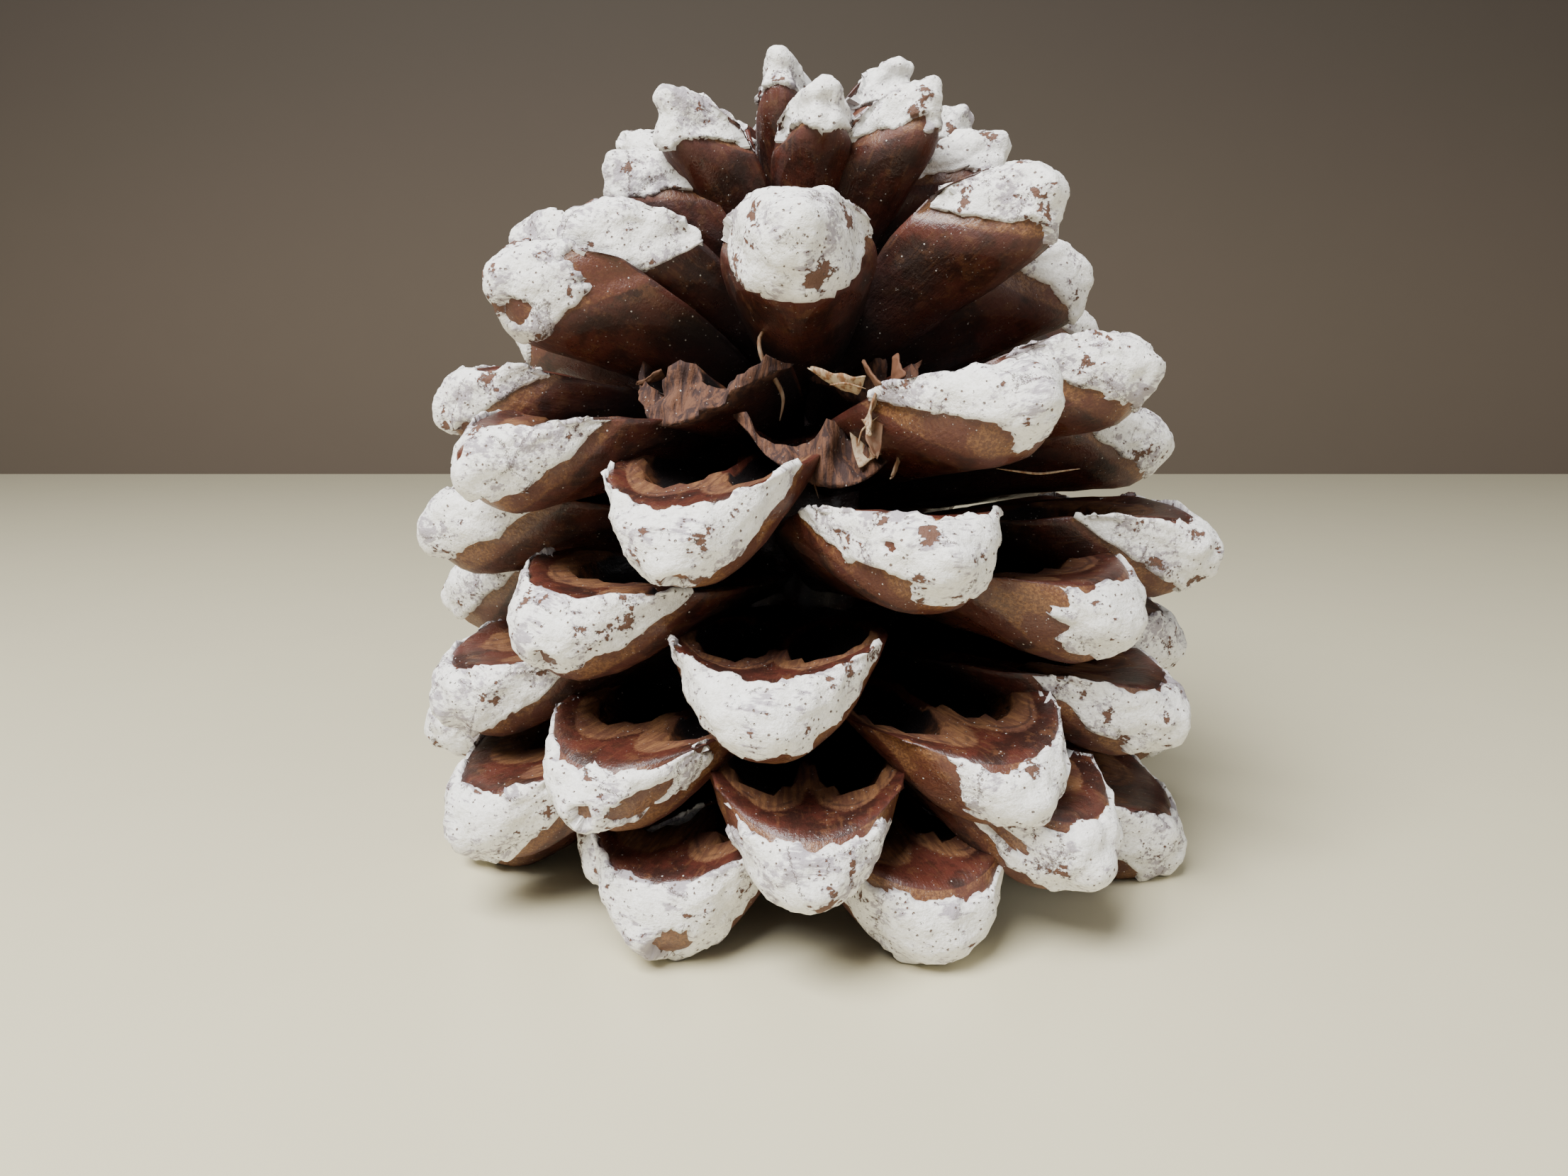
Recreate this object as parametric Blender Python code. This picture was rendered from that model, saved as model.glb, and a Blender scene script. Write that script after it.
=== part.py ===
"""An open stone pine cone, standing on its lowest scales.

Units are metres and +Z is up. The cone's axis leans on nothing: its lowest scales carry it,
and each ends in a small flat spot at z = 0. The front of the cone faces -Y.
"""

import math
import random

import bmesh
import bpy
import numpy as np
from mathutils import Matrix, Vector

MM = 0.001

# Spiral of the scales: each one stands a golden turn on from the last
TURN = math.radians(137.67)
FIRST_TURN = math.radians(14.5)
LOWEST_SCALE = -9
HIGHEST_SCALE = 91
SEED = 7

# Outline of the cone along the spiral, in millimetres, at chosen scale numbers:
# how far out and how high the middle of a scale's end face is, where its root meets
# the axis, how wide the scale is, and how thick it is against the usual scale
OUTLINE_AT = (-12, -5, -1, 0, 5, 8, 18, 26, 34, 44, 49, 54, 62, 72, 84, 87, 91)
END_RADIUS = (17, 33, 46, 47, 47.5, 51, 50, 49, 48, 48.5, 46.5, 43, 35.5, 25, 15.5, 11, 5)
END_HEIGHT = (10, 8.5, 5.9, 5.9, 6, 12.5, 20, 30, 43.5, 55, 62.5, 70.5, 82, 92.5, 98.5, 97, 91)
ROOT_HEIGHT = (10.5, 12, 13.5, 14, 16, 18, 24, 30.5, 38.5, 47.5, 51, 54.5, 59, 65, 72.5, 75, 78)
SCALE_WIDTH = (9, 15, 24, 26.5, 26.5, 24, 24.5, 25.5, 24.5, 23, 22, 21, 17.5, 13, 10, 9, 6)
THICKNESS = (1, 1, 1, 1, 1, 1, 0.88, 0.88, 0.92, 0.94, 1, 1.1, 1.3, 1.3, 1.3, 1.3, 1.2)

# Single scales that leave the rule: turn in degrees, reach of the end, rise of the end and
# rise of the root in millimetres, roll in degrees
HABITS = {
    0: (4.5, 0, 0, 0, 0),
    3: (0, 3.5, -0.8, 0, 0),
    5: (-4, 0, 0, 0, 0),
    8: (1, 1, 0.5, 0, 0),
    10: (-2, 1, -1, 0, 0),
    13: (-4, 0, -2, 0, 0),
    16: (0, 1, 6, 3, 0),
    18: (-1.5, 0, 0, 0, -4),
    21: (3, 0, -3, -1, 6),
    23: (0, 1, 0, 0, 0),
    24: (0, 0, 2, 1, 0),
    26: (0.5, 0, 0, 0, 0),
    28: (-4, 1, 0, 0, 0),
    29: (-1, 0, 3, 2, 4),
    31: (0.5, 0, -1.5, 0, -6),
    34: (1.5, 0, 3.5, -3, -3),
    36: (0, 1, 0, 0, 0),
    37: (0, 4, -4, -1, 0),
    39: (-1, 0, -2.5, 12.0, 2),
    42: (-9, -1, 9.5, 2, 9),
    44: (-2, 0.5, -1, 6.5, 0),
    45: (2, 0, -1.5, -3, 0),
    49: (4, 0, -2, 3, 0),
    50: (0, -1, 1, -2, 0),
    57: (2, 1, 1, 0, 0),
    58: (0, -5, 1, 0, 0),
    60: (3, 1, 1, 0, 0),
    63: (2, 0, 2, 0, 0),
    65: (-14, 1, -4, 0, 0),
    70: (4, -3, -1, 0, 0),
    71: (0, -2, 0, 0, 0),
    76: (0, 0, 1, 0, 0),
    78: (0, 1, 0, 0, 0),
    81: (0, 1, -1.5, 0, 0),
    84: (-6, -2, 1.5, 0, 0),
    86: (12, 0, 2.5, 0, 0),
}
LOOSE_TURN = 1.6
LOOSE_ROLL = 3.0
ROOT_SUNK = 0.56

# Scales that have snapped off near the axis, with the share of their length that is left
BROKEN = {47: 0.47, 52: 0.47, 55: 0.30, 68: 0.30, 73: 0.30}

# Shape of one scale, as shares of its length, its width or its end face's height
FACE_HEIGHT = 0.48
LIP_RISE = 0.32
LIP_CORNER_RISE = 0.20
LIP_BOW = 0.17
LIP_NARROWING = 0.14
FACE_BULGE = 0.06
HEEL_BACK = 0.11
ROOT_WIDTH = 0.20
ROOT_DEPTH = 0.07
DISH_DEPTH = 0.05
RIM_RISE = 0.04
HOLLOW_AT = 0.55
HOLLOW_REACH = 0.24
HOLLOW_ASIDE = 0.46
HOLLOW_HALF_WIDTH = 0.40
HOLLOW_DEPTH = 0.29
KEEL_SHARP = 2.0
KEEL_FULL = 2.6
HEEL_ROW = 0.6
HEEL_RIM = 0.84

# Mesh lines along and across a scale, and the angle under which faces count as one
FLAT_ENOUGH = math.radians(0.5)
RIMS = (-1.0, 1.0)
SPINE = (-1.0, 0.0, 1.0)
HOLLOWS = (-1.0, -0.46, 0.0, 0.46, 1.0)
FACE = (-1.0, -0.55, 0.0, 0.55, 1.0)
PLAIN_FACE = (-1.0, -0.4, 0.4, 1.0)
ROWS = (
    (0.0, SPINE, SPINE),
    (0.30, HOLLOWS, SPINE),
    (0.47, HOLLOWS, SPINE),
    (0.60, SPINE, FACE),
    (0.82, RIMS, FACE),
    (1.0, FACE, FACE),
)
PLAIN_ROWS = (
    (0.0, SPINE, SPINE),
    (0.60, SPINE, PLAIN_FACE),
    (0.82, RIMS, PLAIN_FACE),
    (1.0, PLAIN_FACE, PLAIN_FACE),
)
PLAIN_BELOW = 0
PLAIN_ABOVE = 41

# Woody axis, in millimetres, and where it stands so that the cone's box is centred on x = y = 0
AXIS_AT = (-0.40, -0.11)
AXIS_RADIUS = (4, 7, 8, 8, 6.5, 4, 2.5)
AXIS_HEIGHT = (9, 14, 28, 52, 66, 78, 86)
AXIS_SIDES = 8

WOOD_COLOUR = (0.115, 0.042, 0.022, 1.0)
PAINT_COLOUR = (0.80, 0.79, 0.76, 1.0)


def clear_scene():
    for obj in list(bpy.data.objects):
        bpy.data.objects.remove(obj, do_unlink=True)


def plain_material(name, colour, roughness):
    material = bpy.data.materials.new(name)
    material.use_nodes = True
    shader = material.node_tree.nodes["Principled BSDF"]
    shader.inputs["Base Color"].default_value = colour
    shader.inputs["Roughness"].default_value = roughness
    return material


def along_outline(index, values):
    return float(np.interp(index, OUTLINE_AT, values))


def axis_radius(height):
    return float(np.interp(height, AXIS_HEIGHT, AXIS_RADIUS))


def smooth(share):
    share = min(max(share, 0.0), 1.0)
    return share * share * (3 - 2 * share)


# Shape of one scale: x runs out from the axis, y across and z towards the seed side


def rim_share(row):
    """Where along the rim a mesh row ends, as a share from root to lip."""
    if row <= HEEL_ROW:
        return HEEL_RIM * row / HEEL_ROW
    return HEEL_RIM + (1 - HEEL_RIM) * (row - HEEL_ROW) / (1 - HEEL_ROW)


def half_width(share, width):
    grown = 1 - max(0.0, 1 - share / 0.8) ** 1.6
    rounded = LIP_NARROWING * smooth((share - 0.75) / 0.25)
    return 0.5 * width * (ROOT_WIDTH + (1 - ROOT_WIDTH) * grown - rounded)


def lip_reach(across, length):
    return length * (1 - FACE_BULGE * 0.6 - LIP_BOW * abs(across) ** 2.4)


def seed_side(share, across, length, width):
    """A point of the dished side that held the two seeds."""
    height = FACE_HEIGHT * width
    lip = height * (LIP_RISE + LIP_CORNER_RISE * abs(across) ** 1.5)
    rise = ROOT_DEPTH * width + (lip - ROOT_DEPTH * width) * share ** 0.8
    swell = math.sin(math.pi * share)
    rise -= DISH_DEPTH * height * swell * (1 - across * across)
    rise += RIM_RISE * height * swell * abs(across) ** 3
    along = (share - HOLLOW_AT) / HOLLOW_REACH
    aside = (abs(across) - HOLLOW_ASIDE) / HOLLOW_HALF_WIDTH
    rise -= HOLLOW_DEPTH * height * math.sqrt(max(0.0, 1 - along * along - aside * aside))
    x = lip_reach(across, length) * share
    return Vector((x, across * half_width(share, width), rise))


def heel_line(row, length, width):
    """The middle line of the outer side: along the keel, round the heel and up the end face."""
    height = FACE_HEIGHT * width
    lip = lip_reach(0, length)
    heel = (lip - HEEL_BACK * length, -(1 - LIP_RISE - 0.06) * height)
    if row <= HEEL_ROW:
        share = row / HEEL_ROW
        fall = -ROOT_DEPTH * width
        return heel[0] * share, fall + (heel[1] - fall) * share ** 1.3
    share = (row - HEEL_ROW) / (1 - HEEL_ROW)
    guides = (
        heel,
        (lip + 0.02 * length, heel[1]),
        (lip + 2.2 * FACE_BULGE * length, -0.05 * height),
        (lip, LIP_RISE * height),
    )
    weights = ((1 - share) ** 3, 3 * share * (1 - share) ** 2, 3 * share**2 * (1 - share), share**3)
    x = sum(weight * guide[0] for weight, guide in zip(weights, guides))
    z = sum(weight * guide[1] for weight, guide in zip(weights, guides))
    return x, z


def keel_round(share):
    """How round the keel is: sharp towards the root, a full half moon at the end face."""
    return KEEL_SHARP + (KEEL_FULL - KEEL_SHARP) * smooth((share - 0.6) / 0.4)


def outer_side(row, across, length, width):
    """A point of the keeled side and of the end face."""
    share = rim_share(row)
    rim = seed_side(share, 1.0, length, width)
    x_mid, z_mid = heel_line(row, length, width)
    x = rim.x + (x_mid - rim.x) * (1 - abs(across) ** 2.4)
    z = rim.z + (z_mid - rim.z) * (1 - abs(across) ** keel_round(share))
    return Vector((x, across * half_width(share, width), z))


def scale_mesh(name, length, width, rows, kept=1.0):
    """One closed scale. A kept share under one leaves it snapped off there."""
    rows = [row for row in rows if row[0] <= kept]
    whole = kept >= 1.0
    mesh = bmesh.new()
    upper = []
    lower = []
    for row, above, below in rows:
        line = [(a, mesh.verts.new(seed_side(rim_share(row), a, length, width))) for a in above]
        upper.append(line)
        if row == 1.0:
            lower.append(line)
            continue
        inner = [(a, mesh.verts.new(outer_side(row, a, length, width))) for a in below[1:-1]]
        lower.append([line[0]] + inner + [line[-1]])
    for number in range(len(rows) - 1):
        strip(mesh, upper[number + 1], upper[number], 0)
        painted = int(whole and rows[number][0] >= HEEL_ROW)
        strip(mesh, lower[number], lower[number + 1], painted)
    close_end(mesh, upper[0], lower[0])
    if not whole:
        close_end(mesh, upper[-1], lower[-1])
    bmesh.ops.triangulate(mesh, faces=mesh.faces[:])
    bmesh.ops.recalc_face_normals(mesh, faces=mesh.faces[:])
    data = bpy.data.meshes.new(name)
    mesh.to_mesh(data)
    mesh.free()
    return data


def strip(mesh, near, far, material):
    """Triangles between two lines of points that both run from rim to rim."""
    i = 0
    j = 0
    while i < len(near) - 1 or j < len(far) - 1:
        step_near = j == len(far) - 1 or (i < len(near) - 1 and near[i + 1][0] <= far[j + 1][0])
        if step_near:
            corners = (near[i][1], near[i + 1][1], far[j][1])
            i += 1
        else:
            corners = (near[i][1], far[j + 1][1], far[j][1])
            j += 1
        mesh.faces.new(corners).material_index = material


def close_end(mesh, above, below):
    corners = [vert for _, vert in above]
    corners += [vert for _, vert in reversed(below[1:-1])]
    mesh.faces.new(corners)


# Place of each scale on the cone


def scale_pose(index, draw):
    """Root, end and roll of a scale, with its width and its thickness."""
    turn_by, reach, rise, root_rise, roll = HABITS.get(index, (0, 0, 0, 0, 0))
    loose_turn = draw.uniform(-LOOSE_TURN, LOOSE_TURN)
    loose_roll = draw.uniform(-LOOSE_ROLL, LOOSE_ROLL)
    if index not in HABITS:
        turn_by = loose_turn
        roll = loose_roll
    angle = FIRST_TURN + TURN * index + math.radians(turn_by)
    out = Vector((math.sin(angle), -math.cos(angle), 0))
    end = out * (along_outline(index, END_RADIUS) + reach) * MM
    end.z = (along_outline(index, END_HEIGHT) + rise) * MM
    root_height = along_outline(index, ROOT_HEIGHT) + root_rise
    root = out * axis_radius(root_height) * ROOT_SUNK * MM
    root.z = root_height * MM
    width = along_outline(index, SCALE_WIDTH) * MM
    return root, end, math.radians(roll), width, along_outline(index, THICKNESS)


def placed_scale(index, draw, materials):
    root, end, roll, width, thickness = scale_pose(index, draw)
    kept = BROKEN.get(index, 1.0)
    plain = kept == 1.0 and not PLAIN_BELOW <= index <= PLAIN_ABOVE
    rows = PLAIN_ROWS if plain else ROWS
    name = f"scale_{index + 100}"
    data = scale_mesh(name, (end - root).length, width, rows, kept)
    data.transform(Matrix.Diagonal((1, 1, thickness, 1)))
    for material in materials:
        data.materials.append(material)
    scale = bpy.data.objects.new(name, data)
    x_axis = (end - root).normalized()
    y_axis = Vector((0, 0, 1)).cross(x_axis).normalized()
    z_axis = x_axis.cross(y_axis)
    y_rolled = y_axis * math.cos(roll) + z_axis * math.sin(roll)
    z_rolled = x_axis.cross(y_rolled)
    facing = Matrix((x_axis, y_rolled, z_rolled)).transposed().to_4x4()
    scale.matrix_basis = Matrix.Translation(root) @ facing
    return scale


def make_axis(materials):
    mesh = bmesh.new()
    rings = []
    for radius, height in zip(AXIS_RADIUS, AXIS_HEIGHT):
        ring = []
        for side in range(AXIS_SIDES):
            angle = math.tau * side / AXIS_SIDES
            ring.append(mesh.verts.new(
                (radius * MM * math.sin(angle), -radius * MM * math.cos(angle), height * MM)
            ))
        rings.append(ring)
    for below, above in zip(rings, rings[1:]):
        for side in range(AXIS_SIDES):
            after = (side + 1) % AXIS_SIDES
            mesh.faces.new((below[side], below[after], above[after], above[side]))
    mesh.faces.new(rings[0][::-1])
    mesh.faces.new(rings[-1])
    bmesh.ops.recalc_face_normals(mesh, faces=mesh.faces[:])
    data = bpy.data.meshes.new("cone")
    mesh.to_mesh(data)
    mesh.free()
    for material in materials:
        data.materials.append(material)
    cone = bpy.data.objects.new("cone", data)
    bpy.context.scene.collection.objects.link(cone)
    return cone


def apply_boolean(cone, name, operation, collection):
    """Runs one Boolean with a whole collection and removes what the collection held."""
    step = cone.modifiers.new(name, "BOOLEAN")
    step.operation = operation
    step.operand_type = "COLLECTION"
    step.collection = collection
    step.solver = "MANIFOLD"
    bpy.context.view_layer.objects.active = cone
    bpy.ops.object.modifier_apply(modifier=name)
    for obj in list(collection.objects):
        bpy.data.objects.remove(obj, do_unlink=True)
    bpy.data.collections.remove(collection)


def new_collection(name):
    collection = bpy.data.collections.new(name)
    bpy.context.scene.collection.children.link(collection)
    return collection


def join_scales(cone, materials):
    draw = random.Random(SEED)
    scales = new_collection("scales")
    for index in range(LOWEST_SCALE, HIGHEST_SCALE + 1):
        scales.objects.link(placed_scale(index, draw, materials))
    apply_boolean(cone, "join scales", "UNION", scales)


def flatten_feet(cone):
    """Takes off what reaches below z = 0, so that the lowest scales end in flat spots."""
    ground = new_collection("ground")
    mesh = bmesh.new()
    bmesh.ops.create_cube(mesh, size=0.3)
    bmesh.ops.translate(mesh, verts=mesh.verts[:], vec=(0, 0, -0.15))
    data = bpy.data.meshes.new("ground")
    mesh.to_mesh(data)
    mesh.free()
    block = bpy.data.objects.new("ground", data)
    ground.objects.link(block)
    apply_boolean(cone, "flatten feet", "DIFFERENCE", ground)


def shells_of(mesh):
    """The connected pieces of a mesh, as lists of faces."""
    left = set(mesh.faces)
    shells = []
    while left:
        shell = [left.pop()]
        for face in shell:
            for edge in face.edges:
                found = left.intersection(edge.link_faces)
                left -= found
                shell.extend(found)
        shells.append(shell)
    return shells


def fill_pockets(cone):
    """Fills the closed pockets that crowded roots leave between them."""
    mesh = bmesh.new()
    mesh.from_mesh(cone.data)
    bmesh.ops.triangulate(mesh, faces=mesh.faces[:])
    shells = shells_of(mesh)
    shells.sort(key=len)
    for shell in shells[:-1]:
        bmesh.ops.delete(mesh, geom=shell, context="FACES")
    bmesh.ops.dissolve_limit(
        mesh, angle_limit=FLAT_ENOUGH, verts=mesh.verts[:], edges=mesh.edges[:], delimit={"MATERIAL"}
    )
    bmesh.ops.triangulate(mesh, faces=mesh.faces[:])
    mesh.to_mesh(cone.data)
    mesh.free()


def main():
    clear_scene()
    materials = (
        plain_material("scale_wood", WOOD_COLOUR, 0.5),
        plain_material("white_paint", PAINT_COLOUR, 0.7),
    )
    cone = make_axis(materials)
    join_scales(cone, materials)
    flatten_feet(cone)
    fill_pockets(cone)
    cone.data.transform(Matrix.Translation((AXIS_AT[0] * MM, AXIS_AT[1] * MM, 0)))


main()
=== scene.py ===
"""A finished look for an open stone pine cone whose scale ends are daubed white.

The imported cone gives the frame. Its woody scales, core and snapped stubs are made again in
finer detail, and the daubs of paint and the papery scraps are added to them.
"""

import math
import random

import bmesh
import bpy
import numpy as np
from mathutils import Euler, Matrix, Vector, noise


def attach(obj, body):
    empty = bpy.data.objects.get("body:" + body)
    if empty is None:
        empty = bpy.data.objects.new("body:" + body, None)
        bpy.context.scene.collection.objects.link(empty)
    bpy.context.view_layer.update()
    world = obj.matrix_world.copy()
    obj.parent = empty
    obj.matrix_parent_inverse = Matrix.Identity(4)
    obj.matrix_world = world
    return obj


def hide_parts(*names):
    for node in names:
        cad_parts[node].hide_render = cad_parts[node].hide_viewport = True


bl_info = {
    "name": "Painted pine cone",
    "version": (1, 0, 0),
    "blender": (4, 5, 0),
    "location": "View3D > Sidebar > Pine cone",
    "description": "Makes the scales, daubs, core and scraps of an open pine cone",
    "category": "Add Mesh",
}

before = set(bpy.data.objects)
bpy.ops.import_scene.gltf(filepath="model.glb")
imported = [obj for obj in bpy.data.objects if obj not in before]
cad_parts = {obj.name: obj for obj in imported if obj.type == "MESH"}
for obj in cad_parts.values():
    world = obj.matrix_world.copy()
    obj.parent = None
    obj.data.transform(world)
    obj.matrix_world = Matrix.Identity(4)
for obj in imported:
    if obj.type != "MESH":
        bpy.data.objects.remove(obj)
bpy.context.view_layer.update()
MM = 0.001

# Spiral of the scales, the same numbers as the solid cone
TURN = math.radians(137.67)
FIRST_TURN = math.radians(14.5)
LOWEST_SCALE = -9
HIGHEST_SCALE = 91
SEED = 7
OUTLINE_AT = (-12, -5, -1, 0, 5, 8, 18, 26, 34, 44, 49, 54, 62, 72, 84, 87, 91)
END_RADIUS = (17, 33, 46, 47, 47.5, 51, 50, 49, 48, 48.5, 46.5, 43, 35.5, 25, 15.5, 11, 5)
END_HEIGHT = (10, 8.5, 5.9, 5.9, 6, 12.5, 20, 30, 43.5, 55, 62.5, 70.5, 82, 92.5, 98.5, 97, 91)
ROOT_HEIGHT = (10.5, 12, 13.5, 14, 16, 18, 24, 30.5, 38.5, 47.5, 51, 54.5, 59, 65, 72.5, 75, 78)
SCALE_WIDTH = (9, 15, 24, 26.5, 26.5, 24, 24.5, 25.5, 24.5, 23, 22, 21, 17.5, 13, 10, 9, 6)
THICKNESS = (1, 1, 1, 1, 1, 1, 0.88, 0.88, 0.92, 0.94, 1, 1.1, 1.3, 1.3, 1.3, 1.3, 1.2)

# Single scales that leave the rule: turn in degrees, reach of the end, rise of the end and
# rise of the root in millimetres, roll in degrees
HABITS = {
    0: (4.5, 0, 0, 0, 0),
    3: (0, 3.5, -0.8, 0, 0),
    5: (-4, 0, 0, 0, 0),
    8: (1, 1, 0.5, 0, 0),
    10: (-2, 1, -1, 0, 0),
    13: (-4, 0, -2, 0, 0),
    16: (0, 1, 6, 3, 0),
    18: (-1.5, 0, 0, 0, -4),
    21: (3, 0, -3, -1, 6),
    23: (0, 1, 0, 0, 0),
    24: (0, 0, 2, 1, 0),
    26: (0.5, 0, 0, 0, 0),
    28: (-4, 1, 0, 0, 0),
    29: (-1, 0, 3, 2, 4),
    31: (0.5, 0, -1.5, 0, -6),
    34: (1.5, 0, 3.5, -3, -3),
    36: (0, 1, 0, 0, 0),
    37: (0, 4, -4, -1, 0),
    39: (-1, 0, -2.5, 12.0, 2),
    42: (-9, -1, 9.5, 2, 9),
    44: (-2, 0.5, -1, 6.5, 0),
    45: (2, 0, -1.5, -3, 0),
    49: (4, 0, -2, 3, 0),
    50: (0, -1, 1, -2, 0),
    57: (2, 1, 1, 0, 0),
    58: (0, -5, 1, 0, 0),
    60: (3, 1, 1, 0, 0),
    63: (2, 0, 2, 0, 0),
    65: (-14, 1, -4, 0, 0),
    70: (4, -3, -1, 0, 0),
    71: (0, -2, 0, 0, 0),
    76: (0, 0, 1, 0, 0),
    78: (0, 1, 0, 0, 0),
    81: (0, 1, -1.5, 0, 0),
    84: (-6, -2, 1.5, 0, 0),
    86: (12, 0, 2.5, 0, 0),
}
LOOSE_TURN = 1.6
LOOSE_ROLL = 3.0
ROOT_SUNK = 0.56

# Scales that have snapped off near the axis, with the mesh row where they end
BROKEN = {47: 0.47, 52: 0.47, 55: 0.30, 68: 0.30, 73: 0.30}
AXIS_AT = (-0.40, -0.11)
AXIS_RADIUS = (4, 7, 8, 8, 6.5, 4, 2.5)
AXIS_HEIGHT = (9, 14, 28, 52, 66, 78, 86)

# Shape of one scale, as shares of its length, its width or its end face's height. The lip's
# corners rise a little less than on the solid.
FACE_HEIGHT = 0.48
LIP_RISE = 0.32
LIP_CORNER_RISE = 0.15
LIP_BOW = 0.17
LIP_NARROWING = 0.14
FACE_BULGE = 0.06
HEEL_BACK = 0.11
ROOT_WIDTH = 0.20
ROOT_DEPTH = 0.07
DISH_DEPTH = 0.05
RIM_RISE = 0.04
HOLLOW_AT = 0.55
HOLLOW_REACH = 0.24
HOLLOW_ASIDE = 0.46
HOLLOW_HALF_WIDTH = 0.40
HOLLOW_DEPTH = 0.29
KEEL_SHARP = 2.0
KEEL_FULL = 2.6
HEEL_ROW = 0.6
HEEL_RIM = 0.84
END_HALF_WIDTH = 0.43
KNOB_AT = 0.55

# A usual scale's length, width and thickness, the length that an end face's rows are read
# over, and the radius that stands for no chip, in millimetres
USUAL_SIZE = (38.0, 24.0, 24.0)
END_STRETCH = 85.0
NO_CHIP = -9

# Rows and columns in the net of the core, of a scrap and of a fibre
CORE_NET = (110, 64)
SCRAP_NET = (18, 11)
FIBRE_NET = (24, 6)

# Tiers of scales, each one piece, with the first and last scale number
TIERS = {"lower": (-9, 14), "middle": (15, 45), "crown": (46, 91)}
FIRST_DAUBED = -5

# Where the picture is taken from, in metres and degrees, with a 36 mm wide sensor
CAMERA_AT = (-0.0029, -0.1601, 0.0654)
CAMERA_DOWN = 11.27
CAMERA_LENS = 27.04

# Half of the floor's width, how far back the backdrop stands and its height, in metres
FLOOR_HALF = 2
BACKDROP_AT = 0.49
BACKDROP_TALL = 1.6

# How the daub lies on single scales: where it starts on the outer side as a share of the
# scale, the bare shares at its left and right ends, and how far it laps over the lip in mm
DAUBS = {
    0: (0.874, 0.04, -1.0, -1.3),
    5: (0.873, -1.0, -1.0, 0.5),
    8: (0.880, 0.03, -1.0, -0.3),
    10: (0.877, -1.0, 0.05, 0.3),
    13: (0.880, 0.13, 0.10, -0.9),
    16: (0.877, -1.0, -1.0, -0.2),
    18: (0.890, -1.0, 0.02, -0.5),
    21: (0.886, 0.14, -1.0, -0.4),
    26: (0.897, -1.0, -1.0, 0.8),
    29: (0.874, 0.17, -1.0, -0.4),
    31: (0.888, -1.0, -1.0, 0.9),
    34: (0.874, -1.0, -1.0, 0.4),
    37: (0.880, -1.0, -1.0, 0.2),
    39: (0.890, -1.0, -1.0, 0.9),
    42: (0.876, -1.0, -1.0, 0.8),
    57: (0.825, -1.0, 0.13, 0.6),
    60: (0.785, -1.0, -1.0, 0.6),
    65: (0.790, -1.0, -1.0, 0.8),
}
# Bare chips in a daub: place across, place from heel 0 to lip 1, and radius in mm
CHIPS = {
    5: ((0.22, 0.55, 1.9),),
    8: ((-0.75, 0.5, 1.3),),
    16: ((0.15, 0.6, 1.4), (-0.5, 0.2, 1.0)),
    18: ((0.55, 0.55, 2.0), (0.1, 0.62, 1.0)),
    21: ((-0.72, 0.35, 1.8), (0.55, 0.8, 0.9)),
    26: ((-0.15, 0.02, 1.7),),
    34: ((-0.5, 0.22, 2.3),),
    39: ((0.10, 0.45, 0.9), (0.45, 0.3, 0.9)),
    42: ((-0.62, 0.12, 4.6), (0.35, 0.2, 0.6)),
    44: ((-0.1, 0.8, 1.2),),
    50: ((0.1, 0.75, 1.0), (0.2, 0.3, 1.2)),
    63: ((-0.4, 0.1, 2.0),),
}

# Papery scraps where scales tore: place in mm, heading, pitch and roll in degrees, length,
# width and curl in mm, and how brown
SCRAPS = (
    ((5.2, -35.5, 61.8), 190, 8, 40, 5.4, 2.8, 1.6, 0.10),
    ((6.6, -36.0, 60.4), 240, -35, 60, 4.6, 2.6, -1.4, 0.25),
    ((7.2, -36.5, 61.6), 150, 40, 20, 3.8, 3.0, 0.8, 0.90),
    ((8.6, -37.0, 62.4), 120, 65, 80, 3.0, 3.0, 0.5, 1.00),
    ((6.4, -35.5, 58.6), 280, -70, 10, 4.4, 2.0, 1.0, 0.85),
    ((4.6, -31.5, 55.2), 10, 10, 70, 6.0, 3.8, -0.9, 0.05),
    ((9.8, -31.5, 55.0), 260, -50, 80, 3.6, 2.2, 0.6, 0.20),
    ((-17.0, -19.5, 63.0), 190, -30, 40, 3.2, 1.8, 0.6, 0.90),
    ((27.0, 24.0, 47.0), 40, 30, 50, 4.0, 2.2, 0.9, 0.30),
    ((-22.0, 27.0, 52.0), 130, -20, 60, 4.4, 2.4, -0.8, 0.20),
    ((6.0, 31.0, 57.0), 80, 15, 40, 4.8, 2.6, 1.0, 0.15),
)
# Loose fibres and the curled edges of torn hollows: radius in mm, how brown, points in mm
FIBRES = (
    (0.30, 0.6, (
        (-3.2, -23.0, 69.4), (-6.0, -24.5, 67.4), (-5.4, -25.0, 64.6),
        (-3.8, -25.0, 62.4), (-2.8, -24.5, 60.4), (-3.4, -24.0, 57.8),
    )),
    (0.22, 0.4, ((12.6, -31.0, 57.6), (14.8, -31.5, 56.8), (15.6, -31.0, 54.6), (14.0, -30.5, 52.6))),
    (0.14, 0.1, ((5.6, -36.0, 61.8), (3.4, -36.8, 62.4), (1.8, -37.0, 62.2))),
    (0.10, 0.2, ((7.0, -36.0, 59.0), (5.2, -36.6, 57.6), (4.8, -36.4, 56.0))),
    (0.12, 0.3, ((0.4, -31.0, 54.6), (0.2, -31.4, 52.0), (0.9, -31.6, 49.8))),
    (0.14, 0.5, ((20.0, -33.0, 53.2), (25.0, -31.0, 52.4), (30.0, -29.0, 52.8))),
)


# A small language for node trees


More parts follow.
